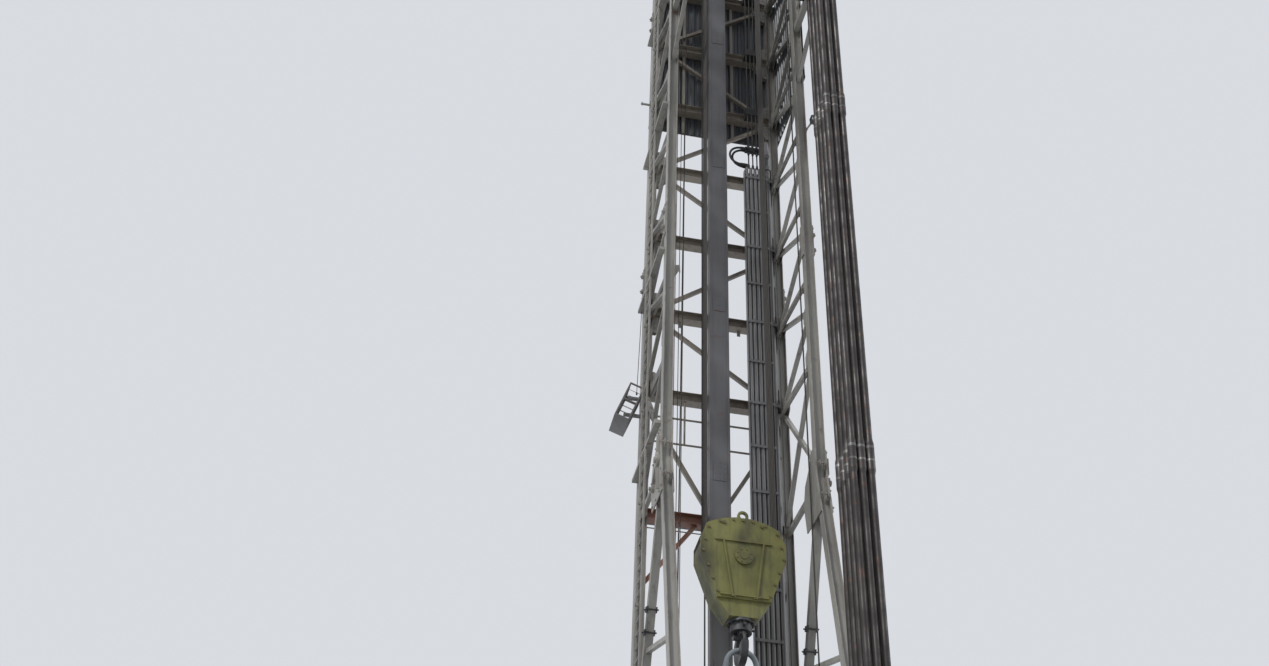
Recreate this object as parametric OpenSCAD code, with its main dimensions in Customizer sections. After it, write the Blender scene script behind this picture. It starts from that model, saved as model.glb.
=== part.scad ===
// Land drilling rig with an open-front mast, as a model at half of the real size.
// The origin is on the ground at the well centre, with the open front of the mast towards -Y.

/* [Mast] */
// Distance between the left and right leg centres
mast_w = 1680; // [1500:10:1900]
// Distance between the front and rear leg centres above the knee
mast_d = 1240; // [1100:10:1400]
// Distance from the well centre back to the rear leg centres
rear_y = 1030; // [1000:5:1100]
// Height of the knee, where the front legs start to spread
knee_z = 9280; // [8800:10:9600]
// Height from the knee up to the first girt
knee_bay_h = 1650; // [1400:10:1800]
// Height of each lattice bay above the first girt
bay_h = 1220; // [1100:10:1240]
// Number of lattice bays above the first girt
bay_count = 11; // [11:1:12]
// Outer size of the leg section
leg_s = 110; // [90:2:130]
// Thickness of the flanges and webs of the legs
leg_t = 8; // [5:1:12]
// How far the front feet stand in front of the well centre
foot_reach = 1390; // [1200:10:1500]
// Outer size of the girt section
girt_s = 125; // [100:1:140]
// Thickness of the flanges and webs of the girts
girt_t = 7; // [5:1:10]
// Size of the diagonal bars of the mast
brace_s = 46; // [30:1:60]
// Size of the struts that run back from the knee
strut_s = 84; // [60:2:90]
// Thickness of the gusset plates at the knee
gusset_t = 12; // [6:1:20]

/* [Substructure and floor] */
// Height of the top of the rig floor
floor_z = 3650; // [3300:10:3900]
// Thickness of the floor plate
floor_t = 50; // [30:1:80]
// Width of the floor across the rig
floor_w = 5400; // [5200:10:5800]
// Length of the floor from front to back
floor_l = 5600; // [5400:10:5800]
// Clear width between the two substructure boxes
cellar_w = 2500; // [2300:10:2700]
// Size of the posts of the substructure
post_s = 160; // [120:2:200]
// Height of the base and top beams of the substructure
sub_beam_h = 200; // [150:5:260]
// Size of the diagonals of the substructure
sub_brace_s = 90; // [60:2:120]
// Depth of the girders under the mast feet
girder_h = 400; // [300:5:460]
// Width of the girders under the mast feet
girder_w = 200; // [160:5:240]
// Side length of the rotary table body
rotary_s = 1060; // [1000:10:1100]
// Height of the rotary table body
rotary_h = 270; // [240:5:300]
// Bore of the rotary table
rotary_bore = 476; // [400:2:560]
// Height of the handrails
rail_h = 530; // [480:5:580]
// Size of the handrail tubes
rail_s = 25; // [20:1:32]
// Width of the pipe opening in the front handrail
vdoor_w = 1300; // [1100:10:1500]
// Height of the mast shoes, from the floor to the leg foot
shoe_h = 60; // [40:5:100]

/* [Racking board and walls] */
// Height of the racking board
board_z = 16450; // [16000:10:16800]
// Front edge of the last finger slot, in front of the well centre
board_front = 1990; // [1900:10:2100]
// Rear edge of the first finger slot, in front of the well centre
board_rear = 740; // [700:5:800]
// Number of finger slots on each side
slot_count = 10; // [8:1:10]
// Width of each finger
finger_w = 38; // [30:1:44]
// Width of the walkway boards
walk_w = 400; // [300:10:500]
// Bottom edge of the wind walls
wall_z = 15430; // [15000:10:15600]
// Height of the wind walls
wall_h = 2820; // [2400:10:3200]
// Pitch of the ribs of the wind walls
rib_pitch = 96; // [80:2:120]
// Depth of the ribs of the wind walls
rib_d = 18; // [10:1:26]

/* [Racked pipe] */
// Diameter of the drill pipe body
pipe_d = 64; // [56:1:70]
// Diameter of the tool joints
joint_d = 83; // [76:1:84]
// Length of a racked stand of three pipes
stand_l = 14200; // [14000:50:14400]
// Number of stands in each racked row
row_stands = 3; // [2:1:3]
// Number of racked rows
row_count = 4; // [2:1:4]

/* [Crown and block] */
// Radius of the sheaves at the centre of the line
sheave_r = 370; // [330:2:380]
// Distance between neighbouring sheaves
sheave_pitch = 50; // [46:1:54]
// Number of sheaves in the travelling block
sheave_count = 5; // [4:1:5]
// Diameter of the drilling line
line_d = 17.5; // [14:0.5:20]
// Height of the travelling block's sheave shaft
block_z = 8230; // [8000:10:8300]
// Half width of the travelling block
block_r = 448; // [430:2:460]
// Thickness of the block's cheek plates
cheek_t = 26; // [18:1:34]
// Height of the crown sheave shaft above the mast top
crown_up = 560; // [540:10:640]
// Radius of the sheave that leads the fast line out behind the mast
lead_r = 440; // [430:2:457]
// Radius of the sheave that turns the dead line down inside the mast
dead_r = 190; // [170:2:194]

/* [Guides and services] */
// Width of the guide beam behind the block
guide_w = 240; // [200:5:260]
// Depth of the guide beam
guide_d = 110; // [90:2:130]
// Gap between the guide beam and the back panel
guide_gap = 80; // [60:2:100]
// Width of the service tray
tray_w = 310; // [280:5:320]
// Top end of the service tray
tray_top = 14660; // [14300:10:15000]
// Diameter of the standpipe
standpipe_d = 64; // [56:1:70]

/* [Drawworks] */
// Length of the drawworks skid
works_w = 2500; // [2200:10:2800]
// Width of the drawworks skid
works_d = 900; // [760:10:1000]
// Height of the drawworks housings
works_h = 1050; // [950:10:1200]

/* [Hidden] */

mast_grey = "#8b8c86";
girt_brown = "#7d6a58";
deck_grey = "#5d6166";
block_yellow = "#a39a3c";
dark_steel = "#3a3c40";
wall_dark = "#2d3136";

leg_x = mast_w / 2;
front_y = rear_y - mast_d;
first_girt_z = knee_z + knee_bay_h;
top_z = first_girt_z + bay_count * bay_h;
foot_z = floor_z + shoe_h;
girt_levels = [for (i = [0 : bay_count]) first_girt_z + i * bay_h];
panel_half = leg_x - leg_s / 2;
guide_y = rear_y - girt_s / 2 - guide_gap - guide_d / 2;
sheaves = [for (i = [0 : sheave_count - 1]) (i - (sheave_count - 1) / 2) * sheave_pitch];
crown_rows = [for (i = [0 : sheave_count - 2]) sheaves[i] + sheave_pitch / 2];
stack_w = sheave_count * sheave_pitch;
crown_z = top_z + crown_up;
lead_z = crown_z + 150;
lead_front = rear_y + girt_s / 2 + 3 - 2 * lead_r;
dead_y = sheaves[0] - sheave_pitch / 2;
dead_x = sheave_r + 2 * dead_r;
finger_pitch = (board_front - board_rear) / slot_count;
finger_in = 300;
board_beam = 110;
board_rib = 70;
board_in = leg_x - board_rib / 2;

// Boxes and bars

// A box given by its lowest and highest corners
module span(a, b) {
    translate(a) cube(b - a);
}

// A square bar from one point to another
module bar(a, b, s) {
    d = b - a;
    len = norm(d);
    translate(a)
        rotate([0, acos(d.z / len), atan2(d.y, d.x)])
            translate([-s / 2, -s / 2, 0])
                cube([s, s, len]);
}

// A round bar from one point to another
module rod(a, b, r, sides = 48) {
    d = b - a;
    len = norm(d);
    translate(a)
        rotate([0, acos(d.z / len), atan2(d.y, d.x)])
            cylinder(r = r, h = len, $fn = sides);
}

// The outline of a rolled H section, with its flanges at the ends of X
module h_section(s_x, s_y, t) {
    difference() {
        square([s_x, s_y], center = true);
        for (side = [-1, 1])
            translate([0, side * (s_y / 2 + t / 2)])
                square([s_x - 2 * t, s_y], center = true);
    }
}

// An H beam that lies along X, with level flanges
module beam_x(x0, x1, y, z_mid, depth, width, t) {
    translate([x0, y, z_mid])
        rotate([90, 0, 90])
            linear_extrude(x1 - x0)
                rotate(90)
                    h_section(depth, width, t);
}

// An H beam that lies along Y, with level flanges
module beam_y(y0, y1, x, z_mid, depth, width, t) {
    translate([x, y1, z_mid])
        rotate([90, 0, 0])
            linear_extrude(y1 - y0)
                rotate(90)
                    h_section(depth, width, t);
}

// A flat shape in the plane of Y and Z, given a thickness along X
module side_plate(x0, thick, points) {
    translate([x0, 0, 0])
        rotate([90, 0, 90])
            linear_extrude(thick)
                polygon(points);
}

// A flat strip from one point of a panel's plane to another
module strip(a, b, s) {
    d = b - a;
    translate(a)
        rotate(atan2(d.y, d.x))
            translate([0, -s / 2])
                square([norm(d), s]);
}

// A flat lattice in the plane of Y and Z, centred on X
module side_lattice(x, thick) {
    translate([x - thick / 2, 0, 0])
        rotate([90, 0, 90])
            linear_extrude(thick)
                children();
}

// Substructure and floor

sub_top = floor_z - floor_t;
sub_in = cellar_w / 2;
sub_out = floor_w / 2;
stations = [for (i = [0 : 3]) (floor_l - post_s) * (i / 3 - 0.5)];

module substructure_box() {
    planes = [sub_in + post_s / 2, sub_out - post_s / 2];
    for (x = planes) {
        for (z = [sub_beam_h / 2, sub_top - sub_beam_h / 2])
            beam_y(-floor_l / 2, floor_l / 2, x, z, sub_beam_h, post_s, 12);
        for (y = stations)
            span([x - post_s / 2, y - post_s / 2, sub_beam_h / 2],
                 [x + post_s / 2, y + post_s / 2, sub_top - sub_beam_h / 2]);
        for (ends = [[1, 0], [1, 2], [2, 3]])
            bar([x, stations[ends[0]], sub_beam_h / 2],
                [x, stations[ends[1]], sub_top - sub_beam_h / 2],
                sub_brace_s);
    }
    for (y = stations)
        for (z = [sub_beam_h / 2, sub_top - sub_beam_h / 2])
            span([planes[0], y - post_s / 4, z - post_s / 2], [planes[1], y + post_s / 4, z + post_s / 2]);
    for (y = [stations[0], stations[3]])
        bar([planes[0], y, sub_beam_h], [planes[1], y, sub_top - sub_beam_h], sub_brace_s);
}

module substructure_right() {
    color(mast_grey) substructure_box();
}

module substructure_left() {
    color(mast_grey) mirror([1, 0, 0]) substructure_box();
}

spreader_y = floor_l / 2 - girder_w;

module front_spreader() {
    color(mast_grey) beam_x(-sub_in, sub_in, -spreader_y, sub_beam_h / 2, sub_beam_h, post_s, 12);
}

module rear_spreader() {
    color(mast_grey) beam_x(-sub_in, sub_in, spreader_y, sub_beam_h / 2, sub_beam_h, post_s, 12);
}

module front_floor_girder() {
    color(mast_grey)
        beam_x(-sub_in, sub_in, -foot_reach, sub_top - girder_h / 2, girder_h, girder_w, 16);
}

module rear_floor_girder() {
    color(mast_grey)
        beam_x(-sub_in, sub_in, rear_y, sub_top - girder_h / 2, girder_h, girder_w, 16);
}

rotary_top = floor_z + 20;
rotary_seat = rotary_top - rotary_h;
rotary_beam_x = 450;
rotary_beam_h = rotary_seat - (sub_top - girder_h);

module rotary_beams() {
    color(mast_grey)
        for (x = [-rotary_beam_x, rotary_beam_x])
            difference() {
                beam_y(-foot_reach + 8, rear_y - 8, x, rotary_seat - rotary_beam_h / 2, rotary_beam_h, 150, 12);
                for (y = [-foot_reach, rear_y])
                    for (z = [sub_top - girder_h, sub_top - 16])
                        span([x - 100, y - girder_w / 2, z], [x + 100, y + girder_w / 2, z + 16]);
            }
}

rotary_gap = 6;

module rig_floor() {
    hole = rotary_s / 2 + rotary_gap;
    color(deck_grey)
        difference() {
            span([-floor_w / 2, -floor_l / 2, sub_top], [floor_w / 2, floor_l / 2, floor_z]);
            span([-hole, -hole, sub_top - 1], [hole, hole, floor_z + 1]);
        }
}

module rotary_table() {
    color(dark_steel)
        difference() {
            union() {
                span([-rotary_s / 2, -rotary_s / 2, rotary_seat], [rotary_s / 2, rotary_s / 2, rotary_top]);
                translate([0, 0, rotary_top]) cylinder(d = rotary_s * 0.8, h = 18, $fn = 96);
            }
            translate([0, 0, rotary_seat - 1]) cylinder(d = rotary_bore, h = rotary_h + 40, $fn = 96);
        }
}

mat_t = 40;
mat_in = 280;
mat_out = 980;
mat_back = foot_reach + leg_s + 40;

module setback_mats() {
    color("#6b5843")
        for (side = [-1, 1])
            span([side > 0 ? mat_in : -mat_out, -board_front - 110, floor_z],
                 [side > 0 ? mat_out : -mat_in, -mat_back, floor_z + mat_t]);
}

// Handrails

// A straight handrail from one point on a deck to another
module handrail(a, b, h, bays) {
    step = (b - a) / bays;
    for (i = [0 : bays]) {
        p = a + i * step;
        span(p - [rail_s, rail_s, 0] / 2, p + [rail_s / 2, rail_s / 2, h]);
    }
    for (z = [h / 2, h - rail_s])
        span(a + [-rail_s / 2, -rail_s / 2, z], b + [rail_s / 2, rail_s / 2, z + rail_s]);
    span(a + [-rail_s / 4, -rail_s / 4, 0], b + [rail_s / 4, rail_s / 4, h / 8]);
}

rail_x = floor_w / 2 - rail_s;
rail_y = floor_l / 2 - rail_s;

module floor_rail_left() {
    color(block_yellow) handrail([-rail_x, -rail_y + 40, floor_z], [-rail_x, rail_y - 40, floor_z], rail_h, 6);
}

module floor_rail_right() {
    color(block_yellow) handrail([rail_x, -rail_y + 40, floor_z], [rail_x, rail_y - 40, floor_z], rail_h, 6);
}

module floor_rail_back() {
    color(block_yellow) handrail([-rail_x + 40, rail_y, floor_z], [rail_x - 40, rail_y, floor_z], rail_h, 6);
}

module floor_rail_front() {
    color(block_yellow) {
        handrail([-rail_x + 40, -rail_y, floor_z], [-vdoor_w / 2, -rail_y, floor_z], rail_h, 3);
        handrail([vdoor_w / 2, -rail_y, floor_z], [rail_x - 40, -rail_y, floor_z], rail_h, 3);
    }
}

// Mast legs

module shoe(x, y, slope) {
    wide = leg_s + 50;
    translate([x, y, floor_z]) {
        span([-wide / 2, -wide / 2, 0], [wide / 2, wide / 2, shoe_h]);
        for (side = [-1, 1])
            translate([side * (leg_s / 2 + 1 + 9), 0, 0]) {
                side_plate(-9, 18, [
                    [-60, shoe_h - 1],
                    [60, shoe_h - 1],
                    [44 + slope * 150, shoe_h + 150],
                    [-44 + slope * 150, shoe_h + 150]
                ]);
                translate([side * 9, slope * 100, shoe_h + 100])
                    rotate([0, side * 90, 0])
                        cylinder(r = 26, h = 16, $fn = 32);
            }
    }
}

leg_slope = (front_y + foot_reach) / (knee_z - foot_z);

module mast_shoes() {
    color(mast_grey)
        for (side = [-1, 1]) {
            shoe(side * leg_x, rear_y, 0);
            shoe(side * leg_x, -foot_reach, leg_slope);
        }
}

module leg(x, y, z0, z1) {
    color(mast_grey)
        translate([x, y, z0])
            linear_extrude(z1 - z0)
                h_section(leg_s, leg_s, leg_t);
}

module rear_leg_left() {
    leg(-leg_x, rear_y, foot_z, top_z);
}

module rear_leg_right() {
    leg(leg_x, rear_y, foot_z, top_z);
}

module front_leg_left() {
    leg(-leg_x, front_y, knee_z, top_z);
}

module front_leg_right() {
    leg(leg_x, front_y, knee_z, top_z);
}

// The sloping lower part of a front leg, with level ends
module front_foot(x) {
    web = leg_t / 2;
    half = leg_s / 2;
    color(mast_grey) {
        for (side = [-1, 1])
            side_plate(x + side * (half - leg_t / 2) - leg_t / 2, leg_t, [
                [-foot_reach - half, foot_z],
                [-foot_reach + half, foot_z],
                [front_y + half, knee_z],
                [front_y - half, knee_z]
            ]);
        side_plate(x - half + leg_t / 2, leg_s - leg_t, [
            [-foot_reach - web, foot_z],
            [-foot_reach + web, foot_z],
            [front_y + web, knee_z],
            [front_y - web, knee_z]
        ]);
    }
}

module front_foot_left() {
    front_foot(-leg_x);
}

module front_foot_right() {
    front_foot(leg_x);
}

// Knee

// A plate with a domed head round the upper leg, and its widest point where the strut leaves
gusset_head = [for (a = [165 : -15 : 15]) [front_y + 20 + 80 * cos(a), knee_z + 270 + 80 * sin(a)]];
gusset_shape = concat(gusset_head, [
    [front_y + 170, knee_z + 190],
    [front_y + 330, knee_z + 60],
    [front_y + 400, knee_z - 160],
    [front_y + 330, knee_z - 520],
    [front_y - 40, knee_z - 520],
    [front_y - leg_s / 2 - 520 * leg_slope, knee_z - 520],
    [front_y - leg_s / 2, knee_z]
]);

module knee_gussets() {
    color(mast_grey)
        for (x = [-leg_x, leg_x])
            for (x0 = [x + leg_s / 2, x - leg_s / 2 - gusset_t])
                side_plate(x0, gusset_t, gusset_shape);
}

// Side panels

// The space between the webs of a front and a rear leg
module between_legs() {
    intersection() {
        polygon([
            [-foot_reach + leg_t / 2, foot_z],
            [rear_y - leg_t / 2, foot_z],
            [rear_y - leg_t / 2, top_z],
            [front_y + leg_t / 2, top_z],
            [front_y + leg_t / 2, knee_z]
        ]);
        children();
    }
}

strut_foot_z = knee_z - 2 * knee_bay_h;
base_girt_z = floor_z + 0.382 * (knee_z - floor_z);

module base_panel(x) {
    color(mast_grey) {
        side_lattice(x, brace_s)
            between_legs() {
                strip([-foot_reach, base_girt_z], [rear_y, base_girt_z], 60);
                strip([front_y, knee_z - 30], [rear_y, knee_z - 30], 60);
                strip([-foot_reach + 60, foot_z + 90], [rear_y, base_girt_z], brace_s);
                strip([rear_y, foot_z + 60], [-foot_reach + 300, base_girt_z], brace_s);
                strip([front_y - 560, knee_z - 2300], [front_y + 700, knee_z - 1900], brace_s);
            }
        side_lattice(x, strut_s)
            between_legs()
                strip([front_y, knee_z - 60], [rear_y, strut_foot_z], strut_s);
    }
}

module base_panel_left() {
    base_panel(-leg_x);
}

module base_panel_right() {
    base_panel(leg_x);
}

// Diagonals that run from the rear leg at each girt to the front leg between girts
module side_panel(x) {
    color(mast_grey)
        side_lattice(x, brace_s)
            between_legs() {
                strip([front_y, knee_z + 90], [rear_y, first_girt_z], brace_s);
                strip([rear_y, knee_z + 90], [front_y, first_girt_z], brace_s);
                for (i = [0 : bay_count - 1]) {
                    z = girt_levels[i];
                    strip([rear_y, z], [front_y, z + bay_h / 2], brace_s);
                    strip([front_y, z + bay_h / 2], [rear_y, z + bay_h], brace_s);
                }
                strip([front_y, top_z - 35], [rear_y, top_z - 35], 70);
            }
}

module side_panel_left() {
    side_panel(-leg_x);
}

module side_panel_right() {
    side_panel(leg_x);
}

// Back panel

// A flat lattice in the plane of X and Z, at the rear legs
module back_lattice(low, high) {
    translate([0, rear_y + brace_s / 2, 0])
        rotate([90, 0, 0])
            linear_extrude(brace_s)
                intersection() {
                    translate([-panel_half, low]) square([2 * panel_half, high - low]);
                    children();
                }
}

module back_panel() {
    color(girt_brown)
        for (z = girt_levels)
            beam_x(-panel_half, panel_half, rear_y, z, girt_s, girt_s, girt_t);
    color(mast_grey)
        back_lattice(knee_z + girt_s / 2, top_z) {
            for (i = [0 : bay_count - 1]) {
                side = i % 2 == 0 ? 1 : -1;
                z = girt_levels[i];
                strip([side * leg_x, z], [-side * leg_x, z + bay_h], brace_s);
            }
            for (side = [-1, 1])
                strip([0, knee_z], [side * leg_x, first_girt_z - 150], brace_s);
        }
    color(mast_grey) {
        for (x = [-leg_x / 2, -leg_x / 6, leg_x / 3])
            span([x - 20, rear_y + girt_s / 2 - 30, wall_z], [x + 20, rear_y + girt_s / 2, wall_z + wall_h]);
        for (h = [320, 670])
            rod([-panel_half, rear_y - brace_s / 2 - 10, first_girt_z - h],
                [panel_half, rear_y - brace_s / 2 - 10, first_girt_z - h], 12, 24);
        for (x = [-leg_x * 0.44, leg_x * 0.1])
            rod([x, rear_y - brace_s / 2 - 10, first_girt_z - 670],
                [x, rear_y - brace_s / 2 - 10, first_girt_z - girt_s / 2], 12, 24);
    }
}

module knee_girt() {
    color("#8a4a38") {
        beam_x(-panel_half, panel_half, rear_y, knee_z, girt_s, girt_s, girt_t);
        back_lattice(knee_z - 1200, knee_z - girt_s / 2 + 1)
            for (side = [-1, 1])
                strip([side * 190, knee_z], [side * leg_x, knee_z - 900], brace_s);
    }
}

ladder_w = 225;
ladder_y = 420;
rung_step = 150;
ladder_x = -leg_x - leg_s / 2 - 60;

module ladder() {
    color(mast_grey) {
        for (y = [ladder_y - ladder_w / 2, ladder_y + ladder_w / 2])
            span([ladder_x - 9, y - 18, floor_z], [ladder_x + 9, y + 18, top_z - 200]);
        for (z = [floor_z + rung_step : rung_step : top_z - 300])
            span([ladder_x - 6, ladder_y - ladder_w / 2, z - 6],
                 [ladder_x + 6, ladder_y + ladder_w / 2, z + 6]);
        for (z = [knee_z + 420 : 2 * bay_h : top_z - 900])
            for (y = [front_y, rear_y])
                span([ladder_x - 9, min(y, ladder_y), z - 20], [-leg_x - leg_s / 2, max(y, ladder_y), z + 20]);
    }
}

// Crown

crown_beam = 180;
crown_deck = top_z + 90 + crown_beam;
crown_beam_y = [front_y, lead_front + line_d / 2 + 65, rear_y];
bearing_t = 36;
lead_y = lead_front + lead_r;

module crown_frame() {
    color(mast_grey) {
        for (side = [-1, 1])
            span([side * leg_x - leg_s / 2, front_y - leg_s / 2, top_z],
                 [side * leg_x + leg_s / 2, rear_y + leg_s / 2, top_z + 90]);
        for (y = crown_beam_y)
            span([-leg_x - leg_s / 2, y - 55, top_z + 90], [leg_x + leg_s / 2, y + 55, crown_deck]);
        for (y = [front_y, crown_beam_y[1]])
            span([-110, y - 40, crown_deck - 1], [110, y + 40, crown_z + 90]);
        for (side = [-1, 1]) {
            x = -sheave_r + side * (sheave_pitch / 2 + 8 + bearing_t / 2);
            span([x - bearing_t / 2, crown_beam_y[1], top_z + 90], [x + bearing_t / 2, rear_y, crown_deck]);
            span([x - bearing_t / 2, lead_y - 90, crown_deck - 1],
                 [x + bearing_t / 2, lead_y + 90, lead_z + 80]);
        }
        span([dead_x - dead_r - 80, front_y - 40, crown_deck - 1],
             [dead_x - dead_r + 80, front_y + 40, crown_z + 80]);
    }
}

// A grooved sheave lying with its shaft along Y
module sheave(r) {
    rim = r + 20;
    groove = line_d / 2 + seat_gap;
    w = sheave_pitch - 5;
    rotate([90, 0, 0])
        rotate_extrude($fn = 96)
            polygon([
                [30, -w / 2],
                [90, -w / 2],
                [100, -w / 4],
                [r - 70, -w / 4],
                [r - 50, -w / 2 + 1],
                [rim, -w / 2 + 1],
                [r - groove, -groove],
                [r - groove, groove],
                [rim, w / 2 - 1],
                [r - 50, w / 2 - 1],
                [r - 70, w / 4],
                [100, w / 4],
                [90, w / 2],
                [30, w / 2]
            ]);
}

module crown_sheaves() {
    color(dark_steel) {
        for (y = crown_rows)
            translate([0, y, crown_z]) sheave(sheave_r);
        translate([0, crown_beam_y[1] - 40, crown_z])
            rotate([90, 0, 0])
                cylinder(r = 31, h = crown_beam_y[1] - front_y - 80, $fn = 48);
        translate([-sheave_r, lead_y, lead_z])
            rotate(90) {
                sheave(lead_r);
                translate([0, sheave_pitch / 2 + 8, 0])
                    rotate([90, 0, 0])
                        cylinder(r = 31, h = sheave_pitch + 16, $fn = 48);
            }
        translate([dead_x - dead_r, dead_y, crown_z]) sheave(dead_r);
        translate([dead_x - dead_r, dead_y + sheave_pitch / 2, crown_z])
            rotate([90, 0, 0])
                cylinder(r = 31, h = dead_y + sheave_pitch / 2 - front_y - 40, $fn = 48);
    }
}

module crown_platform() {
    wide = leg_x + 310;
    color(deck_grey)
        for (side = [-1, 1])
            span([side > 0 ? leg_x - 20 : -wide, front_y - 300, crown_deck],
                 [side > 0 ? wide : 20 - leg_x, rear_y + 250, crown_deck + 20]);
    color(block_yellow)
        for (side = [-1, 1])
            handrail([side * (wide - 20), front_y - 280, crown_deck + 20],
                     [side * (wide - 20), rear_y + 230, crown_deck + 20], rail_h, 3);
}

// Racking board

board_end = board_front + finger_w + walk_w;

// The side beams run out from between the flanges of the front legs, over a strut each
module board_frame() {
    color(mast_grey)
        for (side = [-1, 1]) {
            x = side * leg_x;
            half = board_rib / 2;
            span([x - half, -board_end, board_z - board_beam], [x + half, front_y - leg_t / 2, board_z]);
            intersection() {
                bar([x, front_y + 80, wall_z - 80], [x, -board_front, board_z], 50);
                span([x - half, -board_end, wall_z - 400],
                     [x + half, front_y - leg_t / 2, board_z - board_beam + 1]);
            }
        }
    color(block_yellow)
        for (x = [-leg_x, leg_x])
            handrail([x, -board_front - finger_w + 30, board_z], [x, front_y - leg_s, board_z], rail_h, 3);
}

module board_fingers() {
    color(dark_steel)
        for (i = [0 : slot_count]) {
            y = -board_rear - i * finger_pitch;
            span([finger_in, y - finger_w / 2, board_z - 60], [board_in, y + finger_w / 2, board_z - 10]);
        }
}

module fingers_right() {
    board_fingers();
}

module fingers_left() {
    mirror([1, 0, 0]) board_fingers();
}

module board_walkway() {
    y = -board_front - finger_w;
    edge = board_in + board_rib;
    color(deck_grey) {
        span([-edge, -board_end, board_z], [edge, y, board_z + 24]);
        span([-140, y - 1, board_z], [140, -board_rear, board_z + 24]);
    }
    color(block_yellow)
        handrail([-edge + 20, -board_end + 20, board_z + 24],
                 [edge - 20, -board_end + 20, board_z + 24], rail_h, 4);
}

// Wind walls

sheet_t = 6;
seat_gap = 0.3;

// A ribbed sheet that runs along X from 0 and stands up along Z
module ribbed_sheet(length, height) {
    n = floor(length / rib_pitch);
    step = length / n;
    front = [for (i = [0 : n - 1]) each [
        [i * step, 0],
        [(i + 0.35) * step, 0],
        [(i + 0.5) * step, rib_d],
        [(i + 0.85) * step, rib_d]
    ]];
    back = [for (p = front) [p.x, p.y + sheet_t]];
    linear_extrude(height)
        polygon(concat(front, [[length, 0], [length, sheet_t]], [for (i = [len(back) - 1 : -1 : 0]) back[i]]));
}

module windwall_back() {
    color(wall_dark)
        translate([-leg_x - leg_s / 2, rear_y + girt_s / 2 + seat_gap, wall_z])
            ribbed_sheet(mast_w + leg_s, wall_h);
}

module windwall_right() {
    color(wall_dark)
        translate([leg_x + leg_s / 2 + rib_d + sheet_t + seat_gap, front_y - leg_s / 2, wall_z])
            rotate(90)
                ribbed_sheet(mast_d + leg_s, wall_h);
}

// Guide beam and services

guide_z0 = floor_z + 900;
guide_z1 = top_z - 250;

module guide_beam() {
    color(mast_grey) {
        span([-guide_w / 2, guide_y - guide_d / 2, guide_z0], [guide_w / 2, guide_y + guide_d / 2, guide_z1]);
        for (i = [0 : bay_count - 1])
            for (side = [-1, 1])
                span([side * 80 - 15, guide_y + guide_d / 2 - 1, girt_levels[i] - girt_s / 2],
                     [side * 80 + 15, rear_y - girt_s / 2, girt_levels[i] + girt_s / 2]);
    }
}

tray_x = 370;
tray_gap = 90;

module service_tray() {
    y = rear_y - girt_s / 2 - tray_gap;
    color(mast_grey) {
        difference() {
            span([tray_x, y - 60, floor_z], [tray_x + tray_w, y, tray_top]);
            span([tray_x + 8, y - 61, floor_z - 1], [tray_x + tray_w - 8, y - 8, tray_top + 1]);
        }
        for (i = [0 : 3])
            span([tray_x + 20, y - 1, girt_levels[i] - girt_s / 2],
                 [tray_x + tray_w - 20, rear_y - girt_s / 2, girt_levels[i] + girt_s / 2]);
        for (i = [0 : 4])
            translate([tray_x + 40 + i * 57, y - 32, floor_z])
                cylinder(r = 23, h = tray_top - floor_z + 60, $fn = 32);
    }
}

lines_y = rear_y - girt_s / 2 - tray_gap - 32;
header_z = tray_top + 400;
elbow_foot = tray_top + 96;
elbow_r = (header_z - elbow_foot) / 2;

// Thin lines that go on up from the tray to the girts, and two bent pipes at its top
module service_lines() {
    color(dark_steel) {
        for (i = [0 : 3])
            translate([tray_x + 70 + i * 57, lines_y, tray_top + 61])
                cylinder(r = 9, h = girt_levels[8] + girt_s / 2 - tray_top - 61, $fn = 24);
        for (i = [4 : 8])
            span([tray_x + 50, lines_y - 14, girt_levels[i] - girt_s / 2],
                 [tray_x + tray_w - 40, rear_y - girt_s / 2, girt_levels[i] + girt_s / 2]);
        span([tray_x + 20, lines_y - 25, header_z - 40], [tray_x + tray_w - 20, lines_y + 25, header_z + 40]);
        for (y = [-22, 22])
            translate([tray_x - 20 + y, lines_y + y, (elbow_foot + header_z) / 2]) {
                rotate([90, 0, 0])
                    intersection() {
                        rotate_extrude($fn = 64) translate([elbow_r, 0]) circle(r = 15, $fn = 32);
                        translate([-2 * elbow_r, -2 * elbow_r, -50]) cube([2 * elbow_r, 4 * elbow_r, 100]);
                    }
                for (z = [-elbow_r, elbow_r])
                    translate([-6, 0, z])
                        rotate([0, 90, 0])
                            cylinder(r = 19, h = 66 - y, $fn = 32);
            }
        translate([tray_x + 40, lines_y, tray_top + 60 + seat_gap])
            cylinder(r = 27, h = elbow_foot - tray_top - 40, $fn = 32);
    }
}

module standpipe() {
    x = tray_x + tray_w + standpipe_d / 2 + 10;
    y = rear_y - girt_s / 2 - standpipe_d / 2 - seat_gap;
    color(mast_grey) {
        translate([x, y, floor_z]) cylinder(d = standpipe_d, h = tray_top + 240 - floor_z, $fn = 48);
        translate([x, y, floor_z + 3700]) cylinder(d = standpipe_d + 26, h = 60, $fn = 48);
    }
}

module stabbing_basket() {
    x = -leg_x - leg_s / 2 - 265;
    z = 10350;
    color(mast_grey) {
        for (h = [230, 470])
            span([x + 70, rear_y - 20, z + h], [-leg_x - leg_s / 2, rear_y + 20, z + h + 30]);
        translate([x, rear_y - 120, z])
            rotate([0, 20, 0]) {
                span([-90, -180, 0], [90, 180, 16]);
                for (sx = [-1, 1])
                    for (sy = [-1, 1])
                        span([sx * 82 - 8, sy * 172 - 8, 0], [sx * 82 + 8, sy * 172 + 8, 500]);
                for (h = [245, 485])
                    difference() {
                        span([-90, -180, h], [90, 180, h + 16]);
                        span([-74, -164, h - 1], [74, 164, h + 17]);
                    }
            }
    }
}

// Racked pipe

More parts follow.
